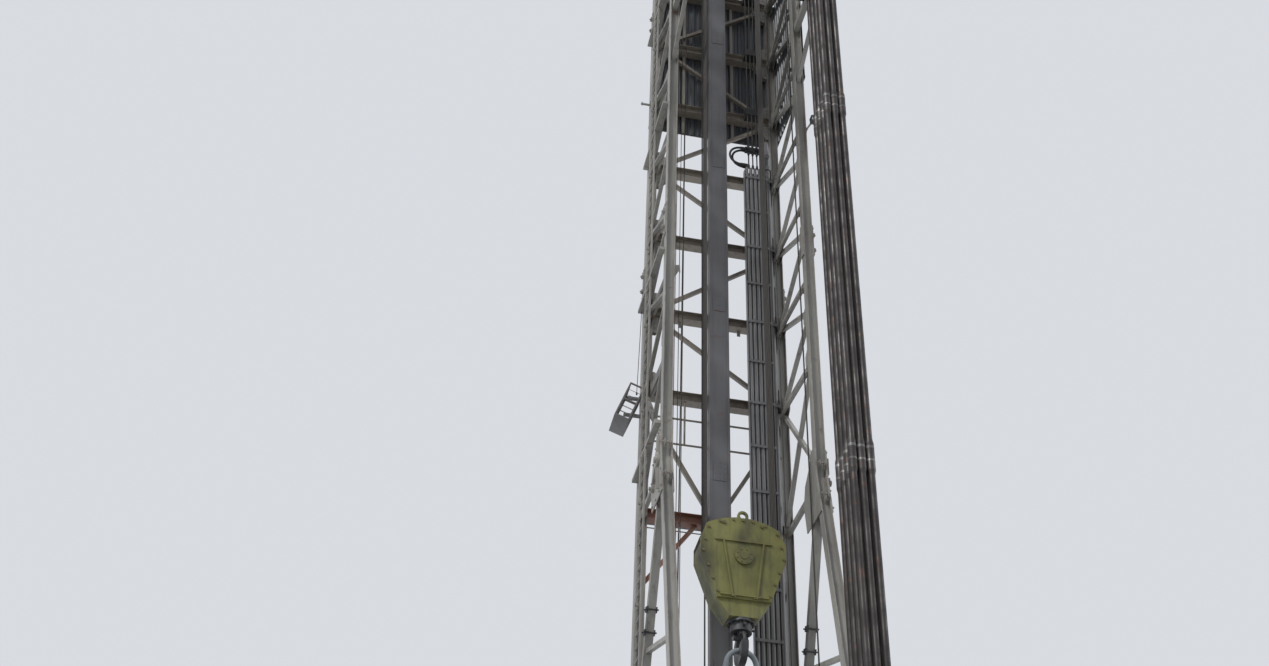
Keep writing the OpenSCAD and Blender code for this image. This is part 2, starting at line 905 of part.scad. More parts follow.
module stand(x, y) {
    z0 = floor_z + mat_t;
    translate([x, y, z0]) {
        cylinder(d = pipe_d, h = stand_l, $fn = 24);
        for (i = [0 : 2]) {
            translate([0, 0, i * stand_l / 3]) cylinder(d = joint_d, h = 150, $fn = 24);
            translate([0, 0, (i + 1) * stand_l / 3 - 150]) cylinder(d = joint_d, h = 150, $fn = 24);
        }
    }
}

module racked_stands() {
    color(dark_steel)
        for (i = [0 : row_count - 1])
            for (k = [0 : row_stands - 1])
                stand(board_in - 8 - joint_d / 2 - k * (joint_d + 4), -board_front + (i + 0.5) * finger_pitch);
}

// Drawworks and lines

works_y = (floor_l - works_d) / 2 - 300;
drum_z = floor_z + 560;
drum_half = works_w / 4;

works_deck = floor_z + 120;
motor_r = 180;

// A skid with a gear case at each end, a motor behind each, and the brake housings over the drum's flanges
module drawworks() {
    color(mast_grey) {
        span([-works_w / 2, works_y - works_d / 2, floor_z], [works_w / 2, works_y + works_d / 2, works_deck]);
        for (side = [-1, 1]) {
            side_plate(side > 0 ? drum_half : 260 - works_w / 2, works_w / 2 - 260 - drum_half, [
                [works_y - works_d / 2 + 30, works_deck - 1],
                [works_y + works_d / 2 - 30, works_deck - 1],
                [works_y + works_d / 2 - 30, floor_z + 560],
                [works_y + works_d / 4, floor_z + works_h],
                [works_y - works_d / 4, floor_z + works_h],
                [works_y - works_d / 2 + 30, floor_z + 820]
            ]);
            translate([side > 0 ? works_w / 2 - 261 : 30 - works_w / 2, works_y, works_deck + motor_r + 20])
                rotate([0, 90, 0])
                    cylinder(r = motor_r, h = 231, $fn = 64);
            for (y = [-110, 90])
                span([side > 0 ? works_w / 2 - 240 : 60 - works_w / 2, works_y + y, works_deck - 1],
                     [side > 0 ? works_w / 2 - 60 : 240 - works_w / 2, works_y + y + 20, works_deck + 120]);
        }
    }
}

module drawworks_drum() {
    color(dark_steel)
        translate([seat_gap - drum_half, works_y, drum_z])
            rotate([0, 90, 0]) {
                cylinder(r = 200, h = 2 * (drum_half - seat_gap), $fn = 96);
                for (z = [20, 2 * drum_half - 60])
                    translate([0, 0, z]) cylinder(r = 380, h = 40, $fn = 96);
            }
}

anchor_h = 420;

// The fast line down to the drum, its stub up from the reeved lines, and the dead line
module lead_lines() {
    r = line_d / 2;
    color(dark_steel) {
        rod([-sheave_r, lead_front + 2 * lead_r, lead_z], [-250, works_y - 210, drum_z], r, 12);
        rod([-sheave_r, lead_front, crown_z + 0.3], [-sheave_r, lead_front, lead_z], r, 12);
        rod([dead_x, dead_y, floor_z + anchor_h], [dead_x, dead_y, crown_z], r, 12);
    }
}

module dead_line_anchor() {
    color(mast_grey) {
        span([dead_x - 110, dead_y - 90, floor_z], [dead_x + 110, dead_y + 90, floor_z + 30]);
        span([dead_x - 60, dead_y - 30, floor_z + 29], [dead_x + 60, dead_y + 30, floor_z + anchor_h]);
        translate([dead_x - 100, dead_y, floor_z + 220])
            rotate([0, 90, 0])
                cylinder(r = 110, h = 70, $fn = 64);
    }
}

// Travelling block and top drive

cheek_half = stack_w / 2 + 6;
block_foot = block_r * 0.62;
taper_h = 480;
guard_t = 16;

// The cheek's crowned top clears the sheaves, and its sides taper to the hook's housing
cheek_crown = [for (i = [-4 : 4]) [i * block_r * 0.215, 452 - i * i * 6.6]];
cheek_shape = concat([[-block_r, 0], [-block_r, 170]], cheek_crown, [
    [block_r, 170],
    [block_r, 0],
    [block_foot, -taper_h],
    [-block_foot, -taper_h]
]);
housing_shape = [
    [-240, -sheave_r - 40],
    [240, -sheave_r - 40],
    [block_foot, -taper_h],
    [200, -590],
    [150, -660],
    [-150, -660],
    [-200, -590],
    [-block_foot, -taper_h]
];

// A flat shape in the plane of X and Z, given a thickness along Y
module front_plate(y0, thick) {
    translate([0, y0 + thick, 0])
        rotate([90, 0, 0])
            linear_extrude(thick)
                children();
}

module block_frame() {
    eye_z = 474;
    color(block_yellow)
        translate([0, 0, block_z]) {
            for (y0 = [-cheek_half - cheek_t, cheek_half]) {
                front_plate(y0, cheek_t)
                    difference() {
                        union() {
                            polygon(cheek_shape);
                            translate([0, eye_z]) circle(r = 58, $fn = 48);
                            translate([-58, 400]) square([116, eye_z - 400]);
                        }
                        translate([0, eye_z]) circle(r = 32, $fn = 48);
                    }
                front_plate(y0 > 0 ? y0 + cheek_t - 1 : y0 - 24, 25)
                    circle(r = 96, $fn = 64);
            }
            front_plate(-cheek_half - 1, 2 * cheek_half + 2)
                polygon(housing_shape);
            for (side = [-1, 1])
                front_plate(-cheek_half - 1, 2 * cheek_half + 2)
                    polygon([
                        [side * block_r, 110],
                        [side * (block_r - guard_t), 110],
                        [side * (block_r - guard_t), 0],
                        [side * (block_foot - guard_t), -taper_h],
                        [side * block_foot, -taper_h],
                        [side * block_r, 0]
                    ]);
            for (a = [62, 90, 118])
                translate([(sheave_r + 52) * cos(a), 0, (sheave_r + 52) * sin(a)])
                    rotate([90, 0, 0])
                        cylinder(r = 13, h = 2 * cheek_half + 2, center = true, $fn = 24);
        }
}

module block_sheaves() {
    color(dark_steel)
        translate([0, 0, block_z]) {
            for (y = sheaves)
                translate([0, y, 0]) sheave(sheave_r);
            translate([0, cheek_half, 0])
                rotate([90, 0, 0])
                    cylinder(r = 30, h = 2 * cheek_half, $fn = 48);
        }
}

hook_z = block_z - 920;
hook_hole = 75;
hook_t = 70;
bail_bar = 28;
bail_r = 150;

// The hook seen from its side: a bowl under the hole, a shank up its back and a mouth at its front
module hook_outline() {
    difference() {
        union() {
            translate([0, -30]) circle(r = 165, $fn = 64);
            polygon([[-75, 150], [75, 150], [165, -10], [0, -60], [-110, 70]]);
        }
        circle(r = hook_hole, $fn = 64);
        polygon([[-74, -12], [-20, 72], [-52, 92], [-175, 96], [-230, 20]]);
    }
}

module block_hook() {
    color(dark_steel) {
        translate([0, 0, block_z - 780]) cylinder(r = 110, h = 120, $fn = 64);
        translate([0, 0, block_z - 690]) cylinder(r = 138, h = 30, $fn = 64);
        translate([-hook_t / 2, 0, hook_z])
            rotate([90, 0, 90])
                linear_extrude(hook_t)
                    hook_outline();
        for (side = [-1, 1])
            translate([side > 0 ? hook_t / 2 - 1 : -hook_t / 2 - 39, 30, hook_z + 108])
                rotate([0, 90, 0])
                    cylinder(r = 34, h = 40, $fn = 48);
    }
}

td_drop = 1560;
td_top = block_z - td_drop;
bail_top = hook_z - hook_hole + bail_bar + 4.6;
bail_x = 290;
boss_r = 44;

module bail() {
    z = bail_top - bail_r;
    color(mast_grey) {
        intersection() {
            translate([0, 0, z])
                rotate([90, 0, 0])
                    rotate_extrude($fn = 64)
                        translate([bail_r, 0]) circle(r = bail_bar, $fn = 32);
            span([-2 * bail_r, -bail_r, z], [2 * bail_r, bail_r, z + 2 * bail_r]);
        }
        for (side = [-1, 1])
            translate([side * bail_r, 0, z]) sphere(r = bail_bar + 3, $fn = 48);
        for (side = [-1, 1]) {
            rod([side * bail_r, 0, z], [side * bail_x, 0, td_top + boss_r + 1], bail_bar);
            translate([side * bail_x - 34, 0, td_top + boss_r + 0.3])
                rotate([0, 90, 0])
                    cylinder(r = boss_r, h = 68, $fn = 48);
        }
    }
}

hanger_drop = 1560;
hanger_z = td_top - hanger_drop;
hanger_half = 215;

case_half = 324;
case_front = 200;
case_back = 230;
case_drop = 420;
case_h = 380;
case_top = td_top - case_drop;
case_foot = case_top - case_h;
ear_half = 34;
top_motor = [150, 95];
top_motor_r = 98;
top_motor_h = 378;
brake_h = 60;
frame_drop = 1200;
frame_foot = td_top - frame_drop;
quill_h = 480;
sub_drop = 2390;
sub_foot = td_top - sub_drop;
sub_r = 50;
grab_h = 220;
wash_h = 298;
goose_r = 105;

// Gear case with two upright motors, a gooseneck over the wash pipe, and the pipe handler below
module top_drive() {
    color(block_yellow) {
        span([-case_half, -case_front, case_foot], [case_half, case_back, case_top]);
        span([74 - case_half, 30 - case_front, case_foot - 120], [case_half - 74, case_back - 40, case_foot + 1]);
        span([-case_half, case_back - 30, frame_foot], [case_half, case_back + 30, td_top - 60]);
        for (side = [-1, 1]) {
            span([side * bail_x - ear_half, -60, case_top - 1], [side * bail_x + ear_half, 60, td_top]);
            translate([side * top_motor.x, top_motor.y, case_top - 1])
                cylinder(r = top_motor_r, h = top_motor_h + 2, $fn = 64);
            translate([side * top_motor.x, top_motor.y, case_top + top_motor_h])
                cylinder(r = top_motor_r - 20, h = brake_h, $fn = 64);
        }
        span([-70, case_back - 80, sub_foot + 40], [70, case_back, frame_foot + 1]);
        difference() {
            span([-140, -150, sub_foot + 40], [140, case_back - 79, sub_foot + 40 + grab_h]);
            translate([0, 0, sub_foot]) cylinder(r = sub_r, h = grab_h + 180, $fn = 48);
        }
    }
    color(dark_steel) {
        translate([0, 0, case_foot - quill_h]) cylinder(r = 190, h = quill_h - 119, $fn = 64);
        translate([0, 0, hanger_z - 90]) cylinder(r = 110, h = 400, $fn = 64);
        translate([0, 0, sub_foot]) cylinder(r = sub_r, h = hanger_z - sub_foot - 30, $fn = 48);
        span([-hanger_half, -50, hanger_z], [hanger_half, 50, hanger_z + 110]);
        translate([0, 0, case_top - 1]) cylinder(r = 70, h = wash_h + 2, $fn = 64);
        translate([0, 0, case_top + wash_h]) cylinder(r = 44, h = 142, $fn = 48);
        translate([0, goose_r, case_top + wash_h + 132])
            intersection() {
                rotate([0, 90, 0])
                    rotate_extrude($fn = 64)
                        translate([goose_r, 0]) circle(r = 34, $fn = 32);
                span([-50, -2 * goose_r, 0], [50, 2 * goose_r, 2 * goose_r]);
            }
        translate([0, 2 * goose_r, case_top + 100]) cylinder(r = 41, h = wash_h + 42, $fn = 48);
    }
}

module guide_dolly() {
    gap = 6;
    y1 = guide_y - guide_d / 2 - gap;
    color(mast_grey) {
        span([-160, 260, td_top - 1000], [160, y1, td_top - 200]);
        for (side = [-1, 1])
            span([side > 0 ? guide_w / 2 + gap : -guide_w / 2 - gap - 40, y1 - 60, td_top - 1000],
                 [side > 0 ? guide_w / 2 + gap + 40 : -guide_w / 2 - gap, guide_y + guide_d / 4, td_top - 200]);
    }
}

module links_and_elevator() {
    color(dark_steel) {
        for (side = [-1, 1])
            rod([side * 180, 0, td_top - 2500], [side * 180, 0, hanger_z - 0.3], 24);
        translate([0, 0, td_top - 2580])
            difference() {
                cylinder(r = 210, h = 160, $fn = 64);
                translate([0, 0, -1]) cylinder(r = 46, h = 162, $fn = 64);
            }
    }
}

// The lines lean by half a pitch, from each block sheave to the crown sheave beside it
module drill_lines() {
    last = sheave_count - 1;
    color(dark_steel)
        for (i = [0 : last]) {
            rod([-sheave_r, sheaves[i], block_z],
                [-sheave_r, i == last ? lead_front : crown_rows[i], crown_z], line_d / 2, 12);
            rod([sheave_r, sheaves[i], block_z],
                [sheave_r, sheaves[i] - sheave_pitch / 2, crown_z], line_d / 2, 12);
        }
}

substructure_left();
substructure_right();
front_spreader();
rear_spreader();
front_floor_girder();
rear_floor_girder();
rotary_beams();
rig_floor();
rotary_table();
setback_mats();
floor_rail_left();
floor_rail_right();
floor_rail_back();
floor_rail_front();
mast_shoes();
rear_leg_left();
rear_leg_right();
front_leg_left();
front_leg_right();
front_foot_left();
front_foot_right();
knee_gussets();
base_panel_left();
base_panel_right();
side_panel_left();
side_panel_right();
back_panel();
knee_girt();
ladder();
crown_frame();
crown_sheaves();
crown_platform();
board_frame();
fingers_left();
fingers_right();
board_walkway();
windwall_back();
windwall_right();
guide_beam();
service_tray();
service_lines();
standpipe();
stabbing_basket();
racked_stands();
drawworks();
drawworks_drum();
lead_lines();
dead_line_anchor();
block_frame();
block_sheaves();
block_hook();
bail();
top_drive();
guide_dolly();
links_and_elevator();
drill_lines();
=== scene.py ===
# %% [markdown]
# A drilling rig at half scale, dressed around its packed solids.
# Every solid of the rig is already at its real place, in metres. This lesson gives the solids their finishes
# and adds what is too fine for them: bolts, clamps, gratings, wires and hoses.
# The frame comes first, because every later piece takes its size and place from it.

# %% Load the frame
import math
from itertools import product

import bpy
from mathutils import Matrix, Vector


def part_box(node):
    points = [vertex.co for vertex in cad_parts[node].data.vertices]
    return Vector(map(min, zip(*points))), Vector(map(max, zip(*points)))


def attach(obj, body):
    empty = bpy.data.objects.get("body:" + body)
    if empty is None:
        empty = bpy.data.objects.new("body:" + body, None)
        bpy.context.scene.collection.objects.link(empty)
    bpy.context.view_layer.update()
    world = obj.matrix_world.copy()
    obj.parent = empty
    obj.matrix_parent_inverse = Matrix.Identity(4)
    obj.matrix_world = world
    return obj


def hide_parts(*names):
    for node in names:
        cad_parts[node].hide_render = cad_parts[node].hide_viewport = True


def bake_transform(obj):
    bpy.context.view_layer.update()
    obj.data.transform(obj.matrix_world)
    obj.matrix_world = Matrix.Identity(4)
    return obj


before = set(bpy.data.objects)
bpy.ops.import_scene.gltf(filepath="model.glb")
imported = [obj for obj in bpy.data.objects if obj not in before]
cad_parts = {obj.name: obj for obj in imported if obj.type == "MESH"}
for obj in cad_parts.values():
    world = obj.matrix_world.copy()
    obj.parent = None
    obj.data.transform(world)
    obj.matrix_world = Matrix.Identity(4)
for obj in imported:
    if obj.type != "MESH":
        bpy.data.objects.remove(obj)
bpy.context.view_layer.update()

# %% [markdown]
# The picture was taken from the ground in front of the rig and to its left, looking up past the travelling
# block. A camera can be placed by eye, or worked out from lines that are straight and level on the real rig.
# Here it was worked out: the legs give the tilt, and the evenly spaced girts give the distance. Its frame of
# three axes is built by hand, because it is rolled by about two degrees.

# %% Camera
CAMERA_PLACE = Vector((-3.484, -12.910, 0.821))
CAMERA_TILT = math.radians(37.81)
CAMERA_HEADING = math.radians(10.12)
CAMERA_ROLL = math.radians(2.15)
PHOTO_WIDTH_PX = 1269
FOCAL_PX = 1477.5
SENSOR_MM = 36.0
CLIP_END = 500


def placed(name, data):
    """Give a mesh, lamp or camera a place in the scene."""
    thing = bpy.data.objects.new(name, data)
    bpy.context.scene.collection.objects.link(thing)
    return thing


def direction(heading, height):
    """The heading turns from +Y towards +X, and the height tilts up from level."""
    level = math.cos(height)
    return Vector((math.sin(heading) * level, math.cos(heading) * level, math.sin(height)))


ahead = direction(CAMERA_HEADING, CAMERA_TILT)
level = Vector((math.cos(CAMERA_HEADING), -math.sin(CAMERA_HEADING), 0))
rise = level.cross(ahead)
right = math.cos(CAMERA_ROLL) * level + math.sin(CAMERA_ROLL) * rise
up = math.cos(CAMERA_ROLL) * rise - math.sin(CAMERA_ROLL) * level

data = bpy.data.cameras.new("ground_camera")
data.sensor_width = SENSOR_MM
data.lens = SENSOR_MM * FOCAL_PX / PHOTO_WIDTH_PX
data.clip_end = CLIP_END
camera = placed("ground_camera", data)
camera.matrix_world = Matrix.Translation(CAMERA_PLACE) @ Matrix((right, up, -ahead)).transposed().to_4x4()
bpy.context.scene.camera = camera
print("lens", round(data.lens, 1), "mm")

# %% [markdown]
# The rig stands on a plain pale floor, wide enough that its edge is never in view. A single square face does
# that.

# %% Floor
FLOOR_HALF = 220.0
FLOOR_COLOUR = (0.68, 0.68, 0.67, 1)

mesh = bpy.data.meshes.new("pale_floor")
mesh.from_pydata([(x * FLOOR_HALF, y * FLOOR_HALF, 0) for x, y in ((-1, -1), (1, -1), (1, 1), (-1, 1))],
                 [], [(0, 1, 2, 3)])
material = bpy.data.materials.new("pale_floor")
material.use_nodes = True
shader = material.node_tree.nodes["Principled BSDF"]
shader.inputs["Base Color"].default_value = FLOOR_COLOUR
shader.inputs["Roughness"].default_value = 0.9
mesh.materials.append(material)
placed("pale_floor", mesh)
print("a floor", 2 * FLOOR_HALF, "m wide")

# %% [markdown]
# The sky could be one colour, but then a horizon would show against the lit floor. So it has two tones: a
# faint blue one that lights the steel, and a pale one for camera, mirror and glass rays alone, as bright as
# the lit floor.

# %% Sky
SKY_LIGHT, SKY_STRENGTH = (0.80, 0.86, 1.0, 1), 0.55
PALE = (0.690, 0.712, 0.752, 1)

world = bpy.data.worlds.new("soft_sky")
world.use_nodes = True
nodes, links = world.node_tree.nodes, world.node_tree.links
nodes.clear()
rays = nodes.new("ShaderNodeLightPath")
seen = rays.outputs["Is Camera Ray"]
for kind in ("Is Glossy Ray", "Is Transmission Ray"):
    either = nodes.new("ShaderNodeMath")
    either.operation = "MAXIMUM"
    links.new(seen, either.inputs[0])
    links.new(rays.outputs[kind], either.inputs[1])
    seen = either.outputs[0]
mix = nodes.new("ShaderNodeMixShader")
links.new(seen, mix.inputs["Fac"])
for socket, colour, strength in ((1, SKY_LIGHT, SKY_STRENGTH), (2, PALE, 1.0)):
    tone = nodes.new("ShaderNodeBackground")
    tone.inputs["Color"].default_value = colour
    tone.inputs["Strength"].default_value = strength
    links.new(tone.outputs[0], mix.inputs[socket])
links.new(mix.outputs[0], nodes.new("ShaderNodeOutputWorld").inputs["Surface"])
bpy.context.scene.world = world
print("a sky of", len(nodes), "nodes")

# %% [markdown]
# One broad lamp comes from the front left and a weaker one from the right, so that round pipe and flat flange
# read differently. Area lamps would fade with height on a tall mast, so both are soft suns, with their
# headings measured from the front of the rig.

# %% Lamps
# Each lamp has a name, a strength, and its heading, height and spread in degrees.
LAMPS = (("front_left_lamp", 2.0, -52, 42, 10), ("right_lamp", 0.8, 75, 25, 30))
for name, strength, heading, height, spread in LAMPS:
    data = bpy.data.lights.new(name, "SUN")
    data.energy = strength
    data.angle = math.radians(spread)
    from_front = direction(math.radians(heading), math.radians(height)) * Vector((1, -1, 1))
    placed(name, data).rotation_euler = from_front.to_track_quat("Z", "Y").to_euler()
bpy.context.scene.view_settings.view_transform = "Standard"
print(len(bpy.data.lights), "lamps")

# %% [markdown]
# A finish is a stack of simple patterns: a paint colour that drifts, streaks of dirt that run down, and rust
# that breaks through. It could be a painted image, but noise textures read in the object's own metres need no
# unwrapping, and a rust spot has the same size on every piece. A small helper keeps the nodes short to write.
# Each finish is kept under its own name, because the frame already has materials and a name can be taken.

# %% A helper that builds node materials
RUST = (0.145, 0.062, 0.030)
DIRT = (0.070, 0.060, 0.050)
GREASE = (0.030, 0.028, 0.020)
finished = {}


class Finish:
    """A material under construction: each call adds one node and returns its output."""

    def __init__(self, name, roughness=0.6, metallic=0.0):
        self.name, self.material = name, bpy.data.materials.new(name)
        self.material.use_nodes = True
        self.nodes = self.material.node_tree.nodes
        self.shader = self.nodes["Principled BSDF"]
        self.put(self.shader.inputs["Roughness"], roughness)
        self.put(self.shader.inputs["Metallic"], metallic)
        self.place = self.node("TexCoord", {}, "Object")

    def put(self, socket, value):
        if hasattr(value, "node"):
            self.material.node_tree.links.new(value, socket)
        elif isinstance(value, tuple) and len(value) == 3 and socket.type == "RGBA":
            socket.default_value = (*value, 1)
        else:
            socket.default_value = value

    def node(self, kind, inputs, output=0, **settings):
        node = self.nodes.new("ShaderNode" + kind)
        for key, value in settings.items():
            setattr(node, key, value)
        for key, value in inputs.items():
            self.put(node.inputs[key], value)
        return node.outputs[output]

    def stretched(self, x, y, z):
        return self.node("Mapping", {"Vector": self.place, "Scale": (x, y, z)})

    def noise(self, scale, detail=4.0, rough=0.55, at=None):
        inputs = {"Vector": at or self.place, "Scale": scale, "Detail": detail, "Roughness": rough}
        return self.node("TexNoise", inputs, "Fac")

    def ramp(self, value, low, high):
        return self.node("MapRange", {"Value": value, "From Min": low, "From Max": high}, clamp=True)

    def math(self, kind, a, b):
        return self.node("Math", {0: a, 1: b}, operation=kind)

    def mix(self, share, a, b):
        return self.node("Mix", {"Factor": share, "A": a, "B": b}, "Result", data_type="RGBA")

    def edges(self, radius=0.010):
        """One at the edges of a piece, where paint wears off first, and none on its flat faces."""
        bevel = self.node("Bevel", {"Radius": radius}, samples=4)
        face = self.node("NewGeometry", {}, "Normal")
        turned = self.node("VectorMath", {0: bevel, 1: face}, "Value", operation="DOT_PRODUCT")
        return self.ramp(turned, 0.97, 0.80)

    def times(self, a, b):
        return self.math("MULTIPLY", a, b)

    def speckle(self, scale, detail, rough, low, high):
        """Noise cut between two levels: soft patches where they are far apart, spots where close."""
        return self.ramp(self.noise(scale, detail, rough), low, high)

    def bump(self, height, strength, distance):
        inputs = {"Height": height, "Strength": strength, "Distance": distance}
        self.put(self.shader.inputs["Normal"], self.node("Bump", inputs))

    def done(self, colour, roughness=None):
        self.put(self.shader.inputs["Base Color"], colour)
        if roughness is not None:
            self.put(self.shader.inputs["Roughness"], roughness)
        finished[self.name] = self.material


print("rust", RUST, "dirt", DIRT, "grease", GREASE)

# %% [markdown]
# Every paint on a rig is worn in the same way, and only its colour and its shares of rust and dirt differ. A
# material built by hand for each would repeat the same nodes, so the paints are one recipe and a table. The
# travelling block has larger chips and a film of grease as well.

# %% Paints
def weathered_paint(name, colour, rust_share, dirt_share, chip_size=7.0, grease=0.0):
    """Paint that has drifted in tone, streaked with dirt, and rusted through in spots and along its edges."""
    f = Finish(name)
    pale = tuple(min(1.0, c * 1.14 + 0.015) for c in colour)
    dull = tuple(c * 0.84 for c in colour)
    base = f.mix(f.speckle(0.8, 3.0, 0.55, 0.38, 0.62), dull, pale)
    streaks = f.ramp(f.noise(5.0, 5.0, 0.6, f.stretched(2.6, 2.6, 0.22)), 0.52, 0.80)
    base = f.mix(f.times(streaks, dirt_share), base, DIRT)
    if grease:
        film = f.ramp(f.noise(3.2, 7.0, 0.62, f.stretched(1.0, 1.0, 0.45)), 0.44, 0.66)
        base = f.mix(f.times(film, grease), base, GREASE)
    patches = f.speckle(1.3, 4.0, 0.6, 0.42, 0.62)
    spots = f.times(f.speckle(chip_size, 9.0, 0.66, 0.60, 0.68), patches)
    worn = f.times(f.edges(), f.speckle(9.0, 5.0, 0.6, 0.46, 0.60))
    rusty = f.times(f.math("MAXIMUM", spots, worn), rust_share)
    grain = f.noise(45.0, 6.0, 0.7)
    f.bump(f.math("ADD", f.times(spots, 0.5), f.times(grain, 0.5)), 0.25, 0.003)
    f.done(f.mix(rusty, base, RUST), f.math("ADD", f.times(rusty, 0.30), 0.46))


PAINTS = {
    "mast_paint": ((0.250, 0.240, 0.212), 0.85, 0.75),
    "girt_paint": ((0.235, 0.205, 0.165), 0.90, 0.70),
    "base_paint": ((0.245, 0.245, 0.230), 0.85, 0.75),
    "base_bolt_paint": ((0.22, 0.22, 0.21), 0.95, 0.65),
    "guide_paint": ((0.108, 0.107, 0.110), 0.65, 0.60),
    "tray_paint": ((0.150, 0.148, 0.145), 0.65, 0.60),
    "red_primer": ((0.26, 0.115, 0.075), 0.80, 0.55),
    "block_paint": ((0.180, 0.176, 0.050), 0.85, 0.95, 5.0, 0.75),
    "block_bolt_paint": ((0.125, 0.120, 0.042), 0.95, 0.90, 5.0),
    "rail_yellow": ((0.50, 0.39, 0.06), 0.80, 0.50),
    "machine_paint": ((0.235, 0.265, 0.27), 0.65, 0.60),
    "wall_paint": ((0.052, 0.058, 0.064), 0.55, 0.45),
    "deck_paint": ((0.145, 0.155, 0.165), 0.85, 0.75),
}
for paint, look in PAINTS.items():
    weathered_paint(paint, *look)
print(len(PAINTS), "paints")

# %% [markdown]
# Bare steel is the other family: sheaves, hook, links, drill pipe and wire rope. It is dark with grease, and
# bright only where a line or a tong rubs it. A full metal would mirror the sky, so Metallic stays about half:
# a film of grease and mill scale hides the metal.

# %% Bare steel, rope, timber, rubber and glass
def greasy_steel(name, colour, shine):
    f = Finish(name, 0.45, 0.55)
    patches = f.speckle(5.0, 6.0, 0.55, 0.40, 0.66)
    bright = tuple(min(1.0, c * 2.1) for c in colour)
    base = f.mix(f.times(patches, shine), colour, bright)
    base = f.mix(f.times(f.speckle(11.0, 8.0, 0.65, 0.58, 0.70), 0.5), base, RUST)
    f.bump(f.noise(80.0, 5.0, 0.6), 0.25, 0.002)
    f.done(base, f.math("SUBTRACT", 0.62, f.times(patches, 0.25)))


def wire_rope(name):
    f = Finish(name, 0.5, 0.6)
    inputs = {"Vector": f.place, "Scale": 55.0, "Distortion": 0.3}
    strands = f.node("TexWave", inputs, "Fac", bands_direction="DIAGONAL")
    f.bump(strands, 0.6, 0.002)
    f.done(f.mix(strands, (0.012, 0.011, 0.010), (0.080, 0.074, 0.066)))


def plank_timber(name):
    f = Finish(name, 0.8)
    grain = f.noise(14.0, 8.0, 0.6, f.stretched(1.0, 9.0, 9.0))
    base = f.mix(f.ramp(grain, 0.35, 0.65), (0.075, 0.050, 0.032), (0.23, 0.165, 0.105))
    f.bump(grain, 0.5, 0.004)
    f.done(f.mix(f.times(f.speckle(2.5, 4.0, 0.55, 0.5, 0.7), 0.6), base, DIRT))


def dusty_finish(name, colour, dusty, roughness):
    """Rubber or glass: one tone, with dust in soft patches."""
    f = Finish(name, roughness)
    f.done(f.mix(f.speckle(4.0, 5.0, 0.55, 0.40, 0.70), colour, dusty))


greasy_steel("dark_steel", (0.060, 0.060, 0.062), 0.5)
greasy_steel("sheave_steel", (0.095, 0.092, 0.088), 0.8)
greasy_steel("pipe_steel", (0.036, 0.032, 0.030), 0.6)
wire_rope("rope_steel")
plank_timber("timber")
dusty_finish("black_rubber", (0.018, 0.018, 0.019), (0.060, 0.055, 0.048), 0.62)
dusty_finish("lamp_glass", (0.62, 0.66, 0.66), (0.40, 0.40, 0.36), 0.18)
print(len(finished), "finishes in all")

# %% [markdown]
# Each solid of the frame now takes one of these finishes, by its name. A table from finish to pieces is
# easier to read and to change than a line of code for each, and what it leaves out gets the mast's paint.

# %% Finishes on the frame
FINISHES = {
    "base_paint": ["substructure_left", "substructure_right", "front_spreader", "rear_spreader",
                   "front_floor_girder", "rear_floor_girder", "rotary_beams"],
    "deck_paint": ["rig_floor", "board_walkway", "crown_platform"],
    "rail_yellow": ["floor_rail_left", "floor_rail_right", "floor_rail_back", "floor_rail_front"],
    "timber": ["setback_mats"],
    "dark_steel": ["rotary_table", "drawworks_drum", "block_hook", "links_and_elevator",
                   "fingers_left", "fingers_right"],
    "sheave_steel": ["crown_sheaves", "block_sheaves"],
    "red_primer": ["knee_girt"],
    "girt_paint": ["back_panel"],
    "guide_paint": ["guide_beam"],
    "tray_paint": ["service_tray", "standpipe", "stabbing_basket"],
    "black_rubber": ["service_lines"],
    "wall_paint": ["windwall_back", "windwall_right"],
    "pipe_steel": ["racked_stands"],
    "rope_steel": ["lead_lines", "drill_lines"],
    "block_paint": ["block_frame", "top_drive"],
    "machine_paint": ["drawworks", "dead_line_anchor", "bail", "guide_dolly"],
}

finish_of = {node: finish for finish, names in FINISHES.items() for node in names}
for node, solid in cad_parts.items():
    solid.data.materials.clear()
    solid.data.materials.append(finished[finish_of.get(node, "mast_paint")])
print(len(finish_of), "solids have a finish of their own, and the rest take the mast's paint")

# %% [markdown]
# The fine pieces are placed from the solids themselves. The boxes of a few named solids give the lines that
# everything else hangs on: where the legs stand, how high the knee is, and how far apart the girts are.
# Numbers could be copied from the source, but reading them from the frame keeps the two models together when
# a size changes.

# %% Measures read from the frame
def lowest(node):
    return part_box(node)[0]


def highest(node):
    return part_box(node)[1]


def corners(node):
    return Vector(lowest(node)), Vector(highest(node))


LEG = highest("rear_leg_right")[0] - lowest("rear_leg_right")[0]
LEG_X = highest("rear_leg_right")[0] - LEG / 2
LEG_OUT = LEG_X + LEG / 2
REAR_Y = highest("rear_leg_right")[1] - LEG / 2
FRONT_Y = highest("front_leg_right")[1] - LEG / 2
REAR_FACE, FRONT_FACE = REAR_Y - LEG / 2, FRONT_Y + LEG / 2
KNEE_Z = lowest("front_leg_right")[2]
TOP_Z = highest("front_leg_right")[2]
FLOOR_Z = highest("rig_floor")[2]
GIRT = highest("knee_girt")[1] - lowest("knee_girt")[1]
GIRT_FACE = REAR_Y - GIRT / 2
BAYS = 11
FIRST_GIRT_Z = KNEE_Z + 1.65
BAY = (TOP_Z - FIRST_GIRT_Z) / BAYS
GIRT_LEVELS = [FIRST_GIRT_Z + i * BAY for i in range(BAYS + 1)]
BRACE = 0.046    # the width of every brace bar in the mast's panels
PANEL_HALF = LEG_X - LEG / 2
FOOT_REACH = -lowest("front_foot_right")[1] - LEG / 2
